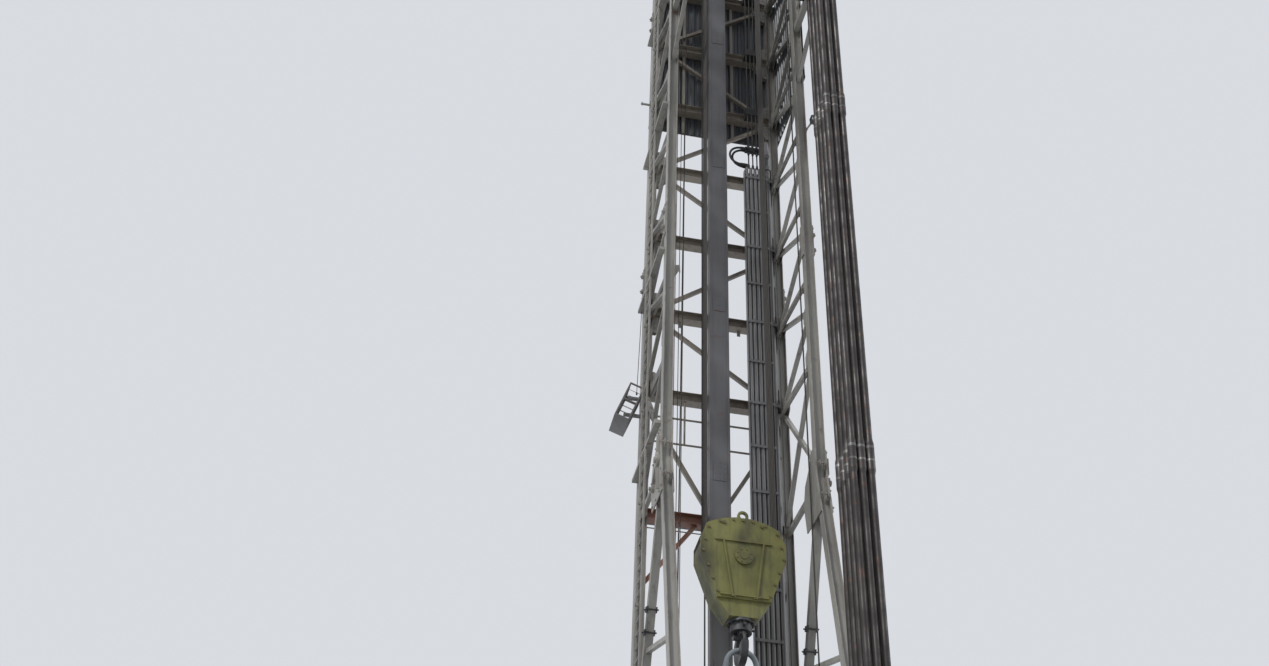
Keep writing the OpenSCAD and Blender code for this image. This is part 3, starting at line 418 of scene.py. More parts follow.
print("mast", round(2 * LEG_X, 3), "wide,", round(REAR_Y - FRONT_Y, 3), "deep, girts every", round(BAY, 3))

# %% [markdown]
# Most steelwork comes in rows, rings and pairs. Modifiers such as Array and Mirror could repeat it, but most
# rows here change a little from place to place. So a few small helpers list the places of things, and shapes
# made in pairs are measured from a place that is moved and mirrored.

# %% Helpers for places
X, Y, Z = (1, 0, 0), (0, 1, 0), (0, 0, 1)
BACK, DOWN = (0, -1, 0), (0, 0, -1)
TURN = 2 * math.pi
SIDES = (-1, 1)


def row(first, pitch, count):
    return [first + i * pitch for i in range(count)]


def steps(first, stop, pitch):
    """Places from first on, one pitch apart, that come before stop."""
    places = []
    while first < stop:
        places.append(first)
        first += pitch
    return places


def arc(centre, u, v, sweep, parts, first=0.0):
    """Points round an arc or a whole turn: it starts towards u and turns towards v."""
    turns = [first + sweep * k / parts for k in range(parts + 1)]
    return [tuple(c + math.cos(t) * a + math.sin(t) * b for c, a, b in zip(centre, u, v)) for t in turns]


def ring(centre, axis, r, count, first=0.0):
    """Points spaced evenly round an axis."""
    u, v = {"x": (Y, Z), "y": (X, Z), "z": (X, Y)}[axis]
    return arc(centre, r * Vector(u), r * Vector(v), TURN, count, first)[:-1]


def both_at(shapes, *place):
    for shape in shapes:
        shape.at(*place)


print("a bolt circle of 8 starts at", ring((0, 0, 0), "z", 1, 8)[:2])

# %% [markdown]
# All the small pieces are made of four shapes: boxes, round bars, bent tubes and flat plates. They could be
# primitives joined by operators, which is slow for thousands of bolts. Here one class gathers their points
# and faces into one mesh. The faces of every shape look outward, and where the place is mirrored they are
# listed the other way round, so that they still do.

# %% A builder for small steelwork
RIG = "rig"
BLOCK = "travelling_block"
BOX_FACES = [(0, 3, 2, 1), (4, 5, 6, 7), (0, 1, 5, 4), (1, 2, 6, 5), (2, 3, 7, 6), (3, 0, 4, 7)]


class Shape:
    """Gathers boxes, bars, tubes and plates into one mesh, in metres."""

    def __init__(self):
        self.points, self.faces, self.smooth = [], [], []
        self.at()

    def at(self, x=0.0, y=0.0, z=0.0, mirror=(1, 1, 1)):
        """Measure what follows from this place, with an axis turned round where mirror says -1."""
        self.origin, self.mirror = (x, y, z), mirror

    def place(self, p):
        return Vector(o + m * c for o, m, c in zip(self.origin, self.mirror, p))

    def add(self, points, faces, smooth=False):
        start = len(self.points)
        self.points += [tuple(p) for p in points]
        self.faces += [tuple(start + i for i in face) for face in faces]
        self.smooth += [smooth] * len(faces)

    def solid(self, points, faces, inward=False):
        """Flat faces round local points, listed the other way round where they would look inward."""
        step = -1 if (math.prod(self.mirror) < 0) != inward else 1
        self.add([self.place(p) for p in points], [face[::step] for face in faces])

    def box(self, a, b):
        (x0, x1), (y0, y1), (z0, z1) = map(sorted, zip(a, b))
        square = ((x0, y0), (x1, y0), (x1, y1), (x0, y1))
        self.solid([(*corner, z) for z in (z0, z1) for corner in square], BOX_FACES)

    def fin(self, foot, out, along, half):
        """A thin rib that stands out from its foot and runs along."""
        across = half * along.cross(out).normalized()
        end = [foot - across, foot + out - across, foot + out + across, foot + across]
        self.solid(end + [p + along for p in end], BOX_FACES)

    def cone(self, a, b, ra, rb, sides=12, smooth=True):
        a, b = self.place(a), self.place(b)
        along = (b - a).normalized()
        side = along.orthogonal().normalized()
        other = along.cross(side)
        low = arc(a, ra * side, ra * other, TURN, sides)[:-1]
        high = arc(b, rb * side, rb * other, TURN, sides)[:-1]
        walls = [(i, (i + 1) % sides, sides + (i + 1) % sides, sides + i) for i in range(sides)]
        self.add(low + high, walls, smooth)
        self.add(low, [tuple(reversed(range(sides)))])
        self.add(high, [tuple(range(sides))])

    def rod(self, a, b, r, sides=12, smooth=True):
        self.cone(a, b, r, r, sides, smooth)

    def bolt(self, at, axis, r=0.009, height=0.008):
        at = Vector(at)
        self.rod(at, at + Vector(axis).normalized() * height, r, 6, False)

    def tube(self, path, r, sides=10):
        """A round tube that follows a list of points, with its sides kept from twisting."""
        path = [self.place(p) for p in path]
        side, rings = None, []
        for i, p in enumerate(path):
            along = (path[min(i + 1, len(path) - 1)] - path[max(i - 1, 0)]).normalized()
            side = along.orthogonal() if side is None else side - along * side.dot(along)
            side.normalize()
            rings += arc(p, r * side, r * along.cross(side), TURN, sides)[:-1]
        faces = []
        for i, k in product(range(0, len(rings) - sides, sides), range(sides)):
            n = (k + 1) % sides
            faces.append((i + k, i + n, i + sides + n, i + sides + k))
        self.add(rings, faces, True)
        self.add(rings[:sides], [tuple(reversed(range(sides)))])
        self.add(rings[-sides:], [tuple(range(sides))])

    def plate(self, outline, normal, start, thick):
        """A flat shape that faces along normal. Its outline lists the other two coordinates in order."""
        order = {"x": (2, 0, 1), "y": (0, 2, 1), "z": (0, 1, 2)}[normal]
        points = [tuple((*p, depth)[k] for k in order) for depth in (start, start + thick) for p in outline]
        n = len(outline)
        rim = [(i, (i + 1) % n, n + (i + 1) % n, n + i) for i in range(n)]
        area = sum(a * d - c * b for (a, b), (c, d) in zip(outline, outline[1:] + outline[:1]))
        inward = (area * thick < 0) != (normal == "y")
        self.solid(points, [tuple(reversed(range(n))), tuple(range(n, 2 * n)), *rim], inward)

    def made(self, name, finish, body=RIG):
        """Turn the gathered shapes into a piece that rides on a body. Its finish decides its slot."""
        mesh = bpy.data.meshes.new(name)
        mesh.from_pydata(self.points, [], self.faces)
        mesh.polygons.foreach_set("use_smooth", self.smooth)
        mesh.materials.append(finished[finish])
        piece = placed(name, mesh)
        if body:
            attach(piece, body)
        print(name, len(self.faces), "faces")
        return piece


print("a Shape has", ", ".join(part for part in vars(Shape) if part[0] != "_"))

# %% [markdown]
# Where braces meet a leg, a flat gusset plate ties them, held by a few bolts. The plates lie on the faces of
# the back braces, above and below every girt. A painted texture would do from afar, but real plates throw
# small shadows, and those make a mast look like steelwork and not like a drawing of lines.

# %% Gusset plates on the back panel
GUSSET = 0.007
GUSSET_FACE = BRACE / 2 + GUSSET
s = Shape()
outline = [(0, 0), (0.20, 0), (0.20, 0.05), (0.05, 0.25), (0, 0.25)]
# Each girt has plates above and below it, but none go below the lowest or above the highest.
levels = list(product(GIRT_LEVELS, SIDES))[1:-1]
for (level, up), side in product(levels, SIDES):
    s.at(side * PANEL_HALF, REAR_Y, level + up * GIRT / 2, (-side, -1, up))
    for way in SIDES:
        s.plate(outline, "y", way * BRACE / 2, way * GUSSET)
    for x, z in ((0.03, 0.04), (0.03, 0.11), (0.03, 0.18), (0.09, 0.035), (0.16, 0.03), (0.09, 0.10)):
        s.bolt((x, GUSSET_FACE, z), Y)
s.made("back_gussets", "mast_paint")

# %% [markdown]
# The side panels have the same plates, but their joints are staggered: at the rear legs they sit at the
# girts, and at the front legs halfway between them. Each plate is a rectangle with its two free corners cut,
# so one outline and a list of joints make them all.

# %% Gusset plates on the side panels
s = Shape()
outline = [(-0.02, -0.15), (0.05, -0.15), (0.15, -0.0675), (0.15, 0.0675), (0.05, 0.15), (-0.02, 0.15)]
joints = [(REAR_FACE, z, -1) for z in GIRT_LEVELS[:-1]]
joints += [(FRONT_FACE, z, 1) for z in [FIRST_GIRT_Z] + [z + BAY / 2 for z in GIRT_LEVELS[:-1]]]
for side, (face, level, way) in product(SIDES, joints):
    s.at(side * LEG_X, face, level, (side, way, 1))
    for out in SIDES:
        s.plate(outline, "x", out * BRACE / 2, out * GUSSET)
    for y, z in ((0.02, -0.11), (0.02, 0), (0.02, 0.11), (0.09, -0.055), (0.09, 0.055)):
        s.bolt((GUSSET_FACE, y, z), X)
s.made("side_gussets", "mast_paint")

# %% [markdown]
# Between the main braces a light angle bar runs from each girt's level at the rear leg, slightly down to the
# front leg. From the ground its lower flange catches the light, which is what makes the side panels look so
# dense. Each flange is a sloped plate, which keeps its ends upright against the legs, as a turned box would
# not.

# %% Light struts in the side panels
FALL = 0.12
s = Shape()
deep = REAR_FACE - FRONT_FACE
for side, z in product(SIDES, GIRT_LEVELS[:-1]):
    s.at(side * (LEG_X - GUSSET_FACE), FRONT_FACE, z - 2 * FALL, (-side, 1, 1))
    for depth, width in ((0.130, 0.008), (0.008, 0.042)):
        s.plate([(deep, FALL), (0, 0), (0, depth), (deep, FALL + depth)], "x", 0, width)
    s.plate([(0, -0.03), (0.10, -0.01), (0.13, 0.03), (0.10, 0.15), (0, 0.17)], "x", 0, -GUSSET)
    for y, z in product((0.035, 0.085), (0.045, 0.105)):
        s.bolt((0.008, y, z), X)
s.made("side_struts", "mast_paint")

# %% [markdown]
# A mast comes to the well in sections, and the sections are pinned together at their legs. Each joint shows
# as a pair of thick plates, one on the leg's outer face and one on its inner face, with two pins through
# them. The front legs and the rear legs are joined at the same heights, clear of the girts, so one loop
# places all twelve.

# %% Section joints in the legs
SPLICE = 0.014
JOINT_ABOVE_GIRT = 0.44
s = Shape()
for girt, leg_y, side in product((1, 5, 9), (FRONT_Y, REAR_Y), SIDES):
    s.at(side * LEG_OUT, leg_y, GIRT_LEVELS[girt] + JOINT_ABOVE_GIRT, (side, 1, 1))
    for x in (0, -LEG - SPLICE):
        s.box((x, -0.045, -0.24), (x + SPLICE, 0.045, 0.24))
    for z in (-0.12, 0.12):
        s.rod((0.010, 0, z), (0.040, 0, z), 0.030, 16)
        s.rod((0.040, 0, z), (0.052, 0, z), 0.012, 8)
        for y in (-0.03, 0.03):
            s.bolt((SPLICE, y, z * 1.7), X, 0.011, 0.010)
s.made("leg_joints", "mast_paint")

# %% [markdown]
# The knee is where the upright front leg meets its sloping foot. Its two large gusset plates carry the whole
# load round the bend, so they are stiffened: flat bars stand on their edges, bolts run round the rim, and a
# pin boss sits where the strut starts. The rim is a short list of places chosen on the plate, because its
# bolts follow the loads and not a pattern. Small lugs stand on the leg's front, just above and below.

# %% Stiffeners, bolts and pins at the knee
KNEE_X = LEG_OUT + 0.012
LEG_SLOPE = (FOOT_REACH + FRONT_Y) / (KNEE_Z - lowest("front_foot_right")[2])
KNEE_RIM = ((-0.035, 0.29), (0.035, 0.29), (0.16, 0.17), (0.29, 0.05), (0.355, -0.15), (0.29, -0.47),
            (0.12, -0.48), (-0.06, -0.48), (-0.15, -0.46), (-0.09, -0.22), (-0.035, 0.0), (-0.035, 0.15))
KNEE_BARS = (((0, 0.24), (0, 0.04)), ((0.05, -0.12), (0.20, -0.25)), ((0.02, -0.15), (-0.04, -0.44)))
LUG = [(0.005, -0.05), (-0.05, -0.03), (-0.05, 0.03), (0.005, 0.05)]
s = Shape()
for side in SIDES:
    s.at(side * KNEE_X, FRONT_Y, KNEE_Z, (side, 1, 1))
    for y, z in KNEE_RIM:
        s.bolt((0, y, z), X, 0.012, 0.012)
    for y, z, r in ((0.02, -0.06, 0.062), (0.24, -0.28, 0.040)):
        s.rod((0, y, z), (0.030, y, z), r, 24)
        s.rod((0, y, z), (0.055, y, z), r * 0.55, 20)
    for a, b in KNEE_BARS:
        a, b = Vector(a), Vector(b)
        half = 0.005 * (b - a).normalized().orthogonal()
        s.plate([a + half, b + half, b - half, a - half], "x", 0, 0.035)
    for z in (0.12, -0.30):
        s.at(side * LEG_X, FRONT_Y - LEG / 2 + min(z, 0) * LEG_SLOPE, KNEE_Z + z)
        for way in SIDES:
            s.plate(LUG, "x", way * 0.022, way * 0.008)
        s.rod((-0.05, -0.030, 0), (0.05, -0.030, 0), 0.011, 10)
s.made("knee_fittings", "mast_paint")

# %% Dark clamped collars on the knee struts, as the photograph shows on the left one
s = Shape()
top = Vector((0, FRONT_Y, KNEE_Z - 0.06))
run = (Vector((0, REAR_Y, KNEE_Z - 3.3)) - top).normalized()
along, across = 0.03 * run, 0.055 * Vector((0, -run.z, run.y))
outline = [(a * along + b * across).yz for a, b in ((-1, -1), (1, -1), (1, 1), (-1, 1))]
for side, far in product(SIDES, (1.55, 1.78)):
    s.at(side * LEG_X, *(top + run * far).yz)
    for way in SIDES:
        s.plate(outline, "x", way * 0.042, way * 0.012)
        end, reach = way * across, Vector((0.067, 0, 0))
        s.rod(end - reach, end + reach, 0.009, 8)
s.made("strut_couplings", "dark_steel")

# %% [markdown]
# Two thin pipes hang just under the knee girt, on small clamps. They carry air and water round the mast, and
# the photograph shows them against the sky to the left of the guide beam. Straight rods are enough: a curve
# object would add settings and no shape.

# %% Thin pipes under the knee girt
s = Shape()
s.at(0, REAR_Y - 0.02, KNEE_Z - GIRT / 2)
reach = PANEL_HALF - 0.002
for z in (-0.055, -0.10):
    s.rod((-reach, 0, z), (reach, 0, z), 0.007, 8)
for x in (-0.62, -0.42, -0.16, 0.24, 0.62):
    s.box((x - 0.007, -0.012, -0.115), (x + 0.007, 0.012, 0))
s.made("knee_pipes", "mast_paint")

# %% [markdown]
# The guide beam steers the block. It is a boxed column, so its dressing is on its edges: a running strip down
# each side that the dolly's rollers bear on, splice plates where its lengths meet, and a cable clipped to its
# left side. Strips and plates are measured outward from the beam's front face, and are thin enough for the
# dolly to pass.

# %% Guide beam dressing
GUIDE_LOW, GUIDE_HIGH = corners("guide_beam")
STRIP = 0.005
s = Shape()
s.at(0, GUIDE_LOW.y, 0, (1, -1, 1))
for side in SIDES:
    x = side * (GUIDE_HIGH.x - 0.018)
    s.box((x - 0.012, 0, GUIDE_LOW.z), (x + 0.012, STRIP, GUIDE_HIGH.z))
half = GUIDE_HIGH.x - 0.04
for z in row(GUIDE_LOW.z + 0.4, 2.44, 8):
    s.box((-half, 0, z - 0.13), (half, STRIP, z + 0.13))
    for x, up in product((-0.055, 0, 0.055), (-0.10, -0.04, 0.04, 0.10)):
        s.bolt((x, 0.0045, z + up), Y, 0.007, 0.003)
s.made("guide_dressing", "guide_paint")

# %% Cable on the guide beam
s = Shape()
x, y = -GUIDE_HIGH.x - 0.030, (GUIDE_LOW.y + GIRT_FACE) / 2 + 0.03
s.rod((x, y, FLOOR_Z + 0.9), (x, y, GUIDE_HIGH.z), 0.009, 8)
for z in GIRT_LEVELS[:-1]:
    s.box((x - 0.012, y - 0.012, z - 0.02), (x + 0.012, GIRT_FACE, z + 0.02))
s.made("guide_cable", "black_rubber")

# %% [markdown]
# The service tray carries the hoses up the mast. Straps hold them in along its open front, and its top has
# the hose clamps and couplings. The standpipe beside it is the mud line: it is clamped at every girt and ends
# in a gooseneck that turns down towards the well. The gooseneck is a tube along half a circle, because a ring
# cut in half would need its straight ends joined on.

# %% Straps of the service tray
TRAY_LOW, TRAY_HIGH = corners("service_tray")
TRAY_Y = GIRT_FACE - 0.09
s = Shape()
for z in steps(FLOOR_Z + 0.5, TRAY_HIGH.z - 0.2, 0.61):
    s.at(0, TRAY_Y - 0.060, z, (1, -1, 1))
    s.box((TRAY_LOW.x - 0.004, 0, 0), (TRAY_HIGH.x + 0.004, 0.006, 0.035))
    for x in (TRAY_LOW.x + 0.02, TRAY_HIGH.x - 0.02):
        s.bolt((x, 0.006, 0.0175), Y, 0.008, 0.007)
s.made("tray_straps", "tray_paint")

# %% Hose couplings over the tray
HEADER = 0.34
s = Shape()
s.at(TRAY_LOW.x, TRAY_Y - 0.032, TRAY_HIGH.z, (1, -1, 1))
for x, z in product(row(0.070, 0.057, 4), (0.02, HEADER + 0.045, HEADER - 0.085)):
    s.rod((x, 0, z), (x, 0, z + 0.04), 0.017, 8)
for x in (0.055, 0.17, 0.25):
    s.rod((x, 0.025, HEADER), (x, 0.065, HEADER), 0.016, 10)
    s.rod((x, 0.045, HEADER), (x, 0.055, HEADER), 0.024, 8)
s.made("tray_couplings", "dark_steel")

# %% Clamps and gooseneck of the standpipe
PIPE_R = 0.032
low, high = corners("standpipe")
pipe_x, pipe_y = (low.x + high.x) / 2, (low.y + high.y) / 2
s = Shape()
for z in [FLOOR_Z + 2.0] + GIRT_LEVELS[:4]:
    s.at(pipe_x, pipe_y, z)
    s.box((-0.062, -0.042, -0.022), (0.062, -0.034, 0.022))
    for x in (-0.052, 0.052):
        s.box((x - 0.010, -0.034, -0.022), (x + 0.010, GIRT_FACE - pipe_y, 0.022))
        s.bolt((x, -0.042, 0), BACK, 0.008, 0.008)
s.at(pipe_x, pipe_y, high.z)
bend = arc((-0.0595, -0.17, 0), (0.0595, 0.17, 0), (0, 0, 0.17), math.pi, 16)
x, y = bend[-1][:2]
s.tube([(0, 0, -0.02), *bend, (x, y, -0.10)], PIPE_R, 16)
collars = ((x, y, -0.10, -0.17, 0.016), (x, y, -0.17, -0.20, 0.006), (0, 0, -0.09, -0.03, 0.014))
for x, y, low, high, proud in collars:
    s.rod((x, y, low), (x, y, high), PIPE_R + proud, 16)
s.made("standpipe_fittings", "tray_paint")

# %% [markdown]
# The walls round the racking board are ribbed sheet. Rows of screws hold the sheet to the girts, and an angle
# closes its top and bottom edges. The lower angle catches the light, which is why it shows pale in the
# photograph. The screws are real hexagons on the ribs' crests, so their row pitch is the ribs' own.

# %% Trims of the wind walls
BACK_LOW, BACK_HIGH = corners("windwall_back")
RIGHT_LOW, RIGHT_HIGH = corners("windwall_right")
s = Shape()
for z in (BACK_LOW.z, BACK_HIGH.z - 0.05):
    s.box((BACK_LOW.x, BACK_HIGH.y, z), (BACK_HIGH.x, BACK_HIGH.y + 0.004, z + 0.05))
    s.box((RIGHT_HIGH.x, RIGHT_LOW.y, z), (RIGHT_HIGH.x + 0.004, RIGHT_HIGH.y, z + 0.05))
s.made("wall_trims", "mast_paint")

# %% Screws of the wind walls
BACK_RIBS, BACK_RIB_PITCH = 18, 0.0986
SIDE_RIBS, SIDE_RIB_PITCH = 13, 0.1038
s = Shape()
for z in [z for z in GIRT_LEVELS if BACK_LOW.z < z < BACK_HIGH.z + 0.01]:
    for up in (-0.05, 0.05 if z < BACK_HIGH.z - 0.1 else -0.03):
        for x in row(BACK_LOW.x + 0.0645, BACK_RIB_PITCH, BACK_RIBS):
            s.bolt((x, BACK_HIGH.y, z + up), Y, 0.007, 0.005)
        for y in row(RIGHT_LOW.y + 0.07, SIDE_RIB_PITCH, SIDE_RIBS):
            s.bolt((RIGHT_HIGH.x, y, z + up), X, 0.007, 0.005)
s.made("wall_screws", "dark_steel")

# %% [markdown]
# The ladder runs up the mast's left side. Its rungs are round bars, and a rail with clamps stands in front of
# them: the climber's harness slides on it. The frame's rungs are square bars, which are simple to simulate,
# and round bars that just cover them are laid over them by stepping up from the floor.

# %% Ladder fittings
LADDER_LOW, LADDER_HIGH = corners("ladder")
LADDER_Y = 0.42
RUNG_STEP = 0.15
s = Shape()
s.at(LADDER_LOW.x + 0.009, LADDER_Y, 0)
s.rod((-0.035, 0, FLOOR_Z + 0.3), (-0.035, 0, LADDER_HIGH.z), 0.006, 8)
for z in steps(FLOOR_Z + 0.6, LADDER_HIGH.z, 1.2):
    s.box((-0.045, -0.012, z - 0.015), (0, 0.012, z + 0.015))
for z in steps(FLOOR_Z + RUNG_STEP, LADDER_HIGH.z - 0.1, RUNG_STEP):
    s.rod((0, -0.125, z), (0, 0.125, z), 0.009, 8)
s.made("ladder_fittings", "mast_paint")

# %% [markdown]
# The racking board is a walkway out in front of the mast, with steel fingers that hold the pipe. The walkway
# is open grating with toe boards, and the fingers have a latch at every slot. Grating could be a texture, but
# its bars stand proud and catch the light, so a helper lays real bars on the deck. The crown's platforms use
# it again.

# %% Grating of the racking board
BOARD_LOW, BOARD_HIGH = corners("board_walkway")
FINGER_LOW, FINGER_HIGH = corners("fingers_right")
DECK_TOP = BOARD_LOW.z + 0.024
TOE_HEIGHT = 0.075
FINGER_SLOTS = 10


def grating(s, low, high, top, pitch=0.045):
    """Bearing bars along Y and cross rods along X, standing a few millimetres proud of a deck."""
    for x in steps(low[0] + pitch / 2, high[0], pitch):
        s.box((x - 0.003, low[1], top), (x + 0.003, high[1], top + 0.006))
    for y in steps(low[1] + pitch, high[1], 2 * pitch):
        s.box((low[0], y - 0.003, top), (high[0], y + 0.003, top + 0.004))


s = Shape()
grating(s, BOARD_LOW.xy, (BOARD_HIGH.x, FINGER_LOW.y - 0.005), DECK_TOP)
grating(s, (-0.14, FINGER_LOW.y), (0.14, BOARD_HIGH.y), DECK_TOP)
s.made("board_grating", "deck_paint")

# %% Toe boards of the racking board
s = Shape()
s.at(0, BOARD_LOW.y, DECK_TOP)
s.box((BOARD_LOW.x, 0.004, 0), (BOARD_HIGH.x, 0.009, TOE_HEIGHT))
for side in SIDES:
    edge = side * (BOARD_HIGH.x - 0.006)
    s.box((edge - 0.0025, 0.01, 0), (edge + 0.0025, FINGER_LOW.y - 0.01 - BOARD_LOW.y, TOE_HEIGHT))
s.made("toe_boards", "rail_yellow")

# %% Latches of the fingers
s = Shape()
pitch = (FINGER_HIGH.y - FINGER_LOW.y - 0.038) / FINGER_SLOTS
for side, y in product(SIDES, row(FINGER_HIGH.y - 0.019, -pitch, FINGER_SLOTS + 1)):
    s.at(0, y, FINGER_HIGH.z, (side, 1, 1))
    for x in (0.36, 0.447, 0.534):
        s.box((x - 0.012, -0.010, 0), (x + 0.012, 0.010, 0.022))
        s.rod((x - 0.018, 0, 0.012), (x + 0.018, 0, 0.012), 0.006, 8)
    s.cone((0.30, 0, -0.025), (0.275, 0, -0.025), 0.019, 0.010, 12)
s.made("finger_latches", "dark_steel")

# %% [markdown]
# A small lamp stands out on a bent arm from the right front leg, under the board. It is the only light
# fitting that the photograph shows, so it has its cooling fins and its glass. Arm, lamp and glass are three
# pieces, because each has its own finish.

# %% Lamp on the leg
arm, lamp, glass = Shape(), Shape(), Shape()
root = Vector((LEG_OUT, FRONT_Y - 0.02, BOARD_LOW.z - 2.0))
end = Vector((0.085, -0.11, 0.105))
arm.at(*root)
arm.box((-0.006, -0.035, -0.045), (0.002, 0.035, 0.045))
arm.tube([(0, 0, 0), (0.022, -0.02, 0.055), (0.050, -0.05, 0.095), end], 0.012, 8)
for y, z in product((-0.024, 0.024), (-0.034, 0.034)):
    arm.bolt((0.002, y, z), X, 0.007, 0.006)
lamp.at(*(root + end))
lamp.box((-0.050, -0.045, -0.035), (0.070, 0.030, 0.030))
lamp.box((-0.056, -0.065, 0.030), (0.076, 0.030, 0.036))
for x in row(-0.030, 0.025, 4):
    lamp.box((x - 0.003, 0.030, -0.028), (x + 0.003, 0.046, 0.028))
glass.at(*(root + end))
glass.box((-0.042, -0.050, -0.027), (0.062, -0.045, 0.022))
arm.made("lamp_arm", "mast_paint")
lamp.made("leg_lamp", "dark_steel")
glass.made("lamp_glass", "lamp_glass")

# %% [markdown]
# A stand is three drill pipes screwed together. At each end of a pipe the tube swells to the tool joint
# through a short cone, and a bright band shows where tongs and slips have bitten. A lathe or a Screw modifier
# could turn the whole profile, but the frame has the cylinders already: only cones and bands are added, and
# they turn plain cylinders into drill pipe.

# %% Racked pipe
STAND_LOW, STAND_HIGH = corners("racked_stands")
PIPE_BODY_R, JOINT_R, JOINT_H = 0.032, 0.0415, 0.150
STAND_ROWS, STANDS_IN_ROW, PIPES_IN_STAND = 4, 3, 3
CONE_H = 0.05
s, bands = Shape(), Shape()
row_step = (STAND_HIGH.y - STAND_LOW.y - 2 * JOINT_R) / (STAND_ROWS - 1)
length = (STAND_HIGH.z - STAND_LOW.z) / PIPES_IN_STAND
places = product(row(STAND_HIGH.x - JOINT_R, -2 * JOINT_R - 0.004, STANDS_IN_ROW),
                 row(STAND_LOW.y + JOINT_R, row_step, STAND_ROWS), row(STAND_LOW.z, length, PIPES_IN_STAND))
for place in places:
    both_at((s, bands), *place)
    foot, head = JOINT_H, length - JOINT_H
    s.cone((0, 0, foot), (0, 0, foot + CONE_H), JOINT_R - 0.001, PIPE_BODY_R, 20)
    s.cone((0, 0, head - CONE_H), (0, 0, head), PIPE_BODY_R, JOINT_R - 0.001, 20)
    for low, high in ((length - 0.055, length - 0.035), (0.085, 0.115)):
        bands.rod((0, 0, low), (0, 0, high), JOINT_R + 0.0015, 20)
s.made("pipe_upsets", "pipe_steel")
bands.made("pipe_bands", "sheave_steel")

# %% [markdown]
# Thin wires run up inside the mast: the hoist lines of small winches, from shackles on the floor to eyes
# under the crown. They are taut from end to end, so each is one straight rod. A short stay also holds the
# tilted basket from the leg above it, and a few odd cleats sit where the photograph shows them.

# %% Hoist wires
HOIST_WIRES = ((-0.55, 0.80), (-0.50, 0.80), (-0.45, 0.80), (0.60, 0.30))
WIRE_TOP_Z = TOP_Z + 0.02
s, ends = Shape(), Shape()
top = WIRE_TOP_Z - FLOOR_Z
for x, y in HOIST_WIRES:
    both_at((s, ends), x, y, FLOOR_Z)
    s.rod((0, 0, 0.10), (0, 0, top), 0.0045, 6)
    ends.box((-0.022, -0.04, 0), (0.022, 0.04, 0.012))
    loop = ((-0.016, 0.01), (-0.018, 0.05), (-0.009, 0.085), (0.009, 0.085), (0.018, 0.05), (0.016, 0.01))
    ends.tube([(x, 0, z) for x, z in loop], 0.005, 8)
    ends.rod((0, 0, 0.075), (0, 0, 0.20), 0.010, 8)
    ends.rod((0, 0, top - 0.14), (0, 0, top), 0.010, 8)
    ends.box((-0.016, -0.012, top - 0.02), (0.016, 0.012, top + 0.012))
for y in sorted({y for x, y in HOIST_WIRES}):
    ends.at(0, y, WIRE_TOP_Z)
    ends.box((-PANEL_HALF - 0.02, -0.030, 0.01), (PANEL_HALF + 0.02, 0.030, 0.06))
s.made("hoist_wires", "rope_steel")
ends.made("hoist_wire_ends", "mast_paint")

# %% Lugs under one girt, an arm on the left rear leg and a cleat on the left front leg
CLEAT_Z = 11.70
s = Shape()
s.at(0, REAR_Y, GIRT_LEVELS[1] - GIRT / 2)
for x in (-0.43, 0.315):
    s.box((x - 0.020, 0.02, -0.075), (x + 0.020, 0.03, 0))
    s.rod((x, 0.015, -0.052), (x, 0.035, -0.052), 0.016, 12)
s.at(-LEG_OUT, REAR_Y, GIRT_LEVELS[4])
s.box((-0.13, -0.012, -0.010), (0.002, 0.012, 0.010))
s.box((-0.006, -0.03, -0.05), (0, 0.03, 0.05))
s.rod((-0.115, 0, -0.030), (-0.115, 0, 0.035), 0.007, 8)
s.at(-PANEL_HALF, FRONT_Y, CLEAT_Z)
s.plate([(0, 0), (0.060, 0.14), (0.080, 0.12), (0.072, 0.23), (0, 0.21)], "y", 0.01, 0.012)
s.made("small_brackets", "mast_paint")

# %% Stay of the basket
BASKET_LOW, BASKET_HIGH = corners("stabbing_basket")
BASKET_Y, BASKET_FOOT_Z, STAY_TOP_Z = REAR_Y - 0.12, 10.35, 12.72
s = Shape()
top = Vector((-LEG_OUT - 0.01, REAR_Y, STAY_TOP_Z))
hook = Vector((BASKET_LOW.x + 0.28, BASKET_Y, BASKET_HIGH.z - 0.02))
s.tube([top, top.lerp(hook, 0.5), hook], 0.004, 6)
s.rod(top + Vector((0.012, 0, 0)), top - Vector((0.02, 0, 0)), 0.014, 10)
s.rod(hook - Vector((0, 0, 0.02)), hook + Vector((0, 0, 0.012)), 0.010, 8)
s.made("basket_stay", "rope_steel")

# %% Bars on the basket's long and short sides, tilted with it
s = Shape()
s.at(-LEG_OUT - 0.265, BASKET_Y, BASKET_FOOT_Z)
bars = [((x, y, 0.016), (x, y, 0.485), 0.004) for x, y in product((-0.082, 0.082), row(-0.16, 0.04, 9))]
for z in row(0.08, 0.08, 5):
    bars += [((x, -0.17, z), (x, 0.17, z), 0.003) for x in (-0.082, 0.082)]
    bars += [((-0.08, y, z), (0.08, y, z), 0.003) for y in (-0.172, 0.172)]
tilt = Matrix.Rotation(math.radians(20), 3, "Y")
for a, b, r in bars:
    s.rod(tilt @ Vector(a), tilt @ Vector(b), r, 6)
s.made("basket_mesh", "tray_paint")

# %% [markdown]
# The travelling block is the heart of the picture. Its cheeks are thick plates with stiffening bars, a bolted
# cap over the sheave shaft, and bolts round the rim. A cheek's dressing is written once and mirrored to the
# other. Everything here rides on the block's own body, so it rises with it.

